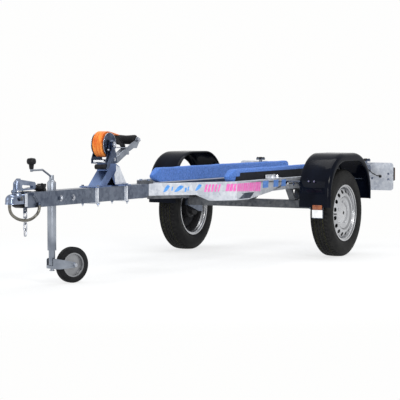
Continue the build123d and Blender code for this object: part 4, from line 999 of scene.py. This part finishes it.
def pale(nodes, links):
    """Factor that is 1 for camera, glossy and transmission rays."""
    path = add_node(nodes, "LightPath")
    first, second = (add_node(nodes, "Math", operation="MAXIMUM") for _ in range(2))
    links.new(path.outputs["Is Camera Ray"], first.inputs[0])
    links.new(path.outputs["Is Glossy Ray"], first.inputs[1])
    links.new(first.outputs["Value"], second.inputs[0])
    links.new(path.outputs["Is Transmission Ray"], second.inputs[1])
    return second.outputs["Value"]


world = bpy.data.worlds.new("studio")
bpy.context.scene.world = world
world.use_nodes = True
nodes, links = world.node_tree.nodes, world.node_tree.links
lit = nodes["Background"]
fill(lit, {"Color": SKY, "Strength": SKY_POWER})
seen = add_node(nodes, "Background", {"Color": PAPER, "Strength": 1.0})
either = add_node(nodes, "MixShader")
links.new(pale(nodes, links), either.inputs["Fac"])
links.new(lit.outputs["Background"], either.inputs[1])
links.new(seen.outputs["Background"], either.inputs[2])
links.new(either.outputs["Shader"], nodes["World Output"].inputs["Surface"])

corners = [(x * FLOOR_HALF, y * FLOOR_HALF, 0) for x, y in ((-1, -1), (1, -1), (1, 1), (-1, 1))]
floor_mesh = bpy.data.meshes.new("floor")
floor_mesh.from_pydata(corners, [], [(0, 1, 2, 3)])
floor = bpy.data.objects.new("floor", floor_mesh)
floor.location.z = -FLOOR_DROP
bpy.context.collection.objects.link(floor)
pale_floor, nodes, links, bsdf = shader("pale floor")
fill(bsdf, {"Base Color": (0.9, 0.9, 0.9, 1), "Roughness": 0.9, "Specular IOR Level": 0.1})
# near the trailer the floor takes its shadow; further out it fades into the backdrop
clear = add_node(nodes, "Emission", {"Color": PAPER, "Strength": 1.0})
blend = add_node(nodes, "MixShader")
coord = add_node(nodes, "TexCoord")
reach = add_node(nodes, "VectorMath", operation="LENGTH")
fade = add_node(nodes, "MapRange", {"From Min": FADE_FROM, "From Max": FADE_TO, "To Min": FADE_NEAR},
                interpolation_type="SMOOTHSTEP")
share = add_node(nodes, "Math", operation="MULTIPLY")
links.new(coord.outputs["Object"], reach.inputs[0])
links.new(reach.outputs["Value"], fade.inputs["Value"])
links.new(fade.outputs["Result"], share.inputs[0])
links.new(pale(nodes, links), share.inputs[1])
links.new(share.outputs["Value"], blend.inputs["Fac"])
links.new(bsdf.outputs["BSDF"], blend.inputs[1])
links.new(clear.outputs["Emission"], blend.inputs[2])
links.new(blend.outputs["Shader"], nodes["Material Output"].inputs["Surface"])
floor_mesh.materials.append(pale_floor)
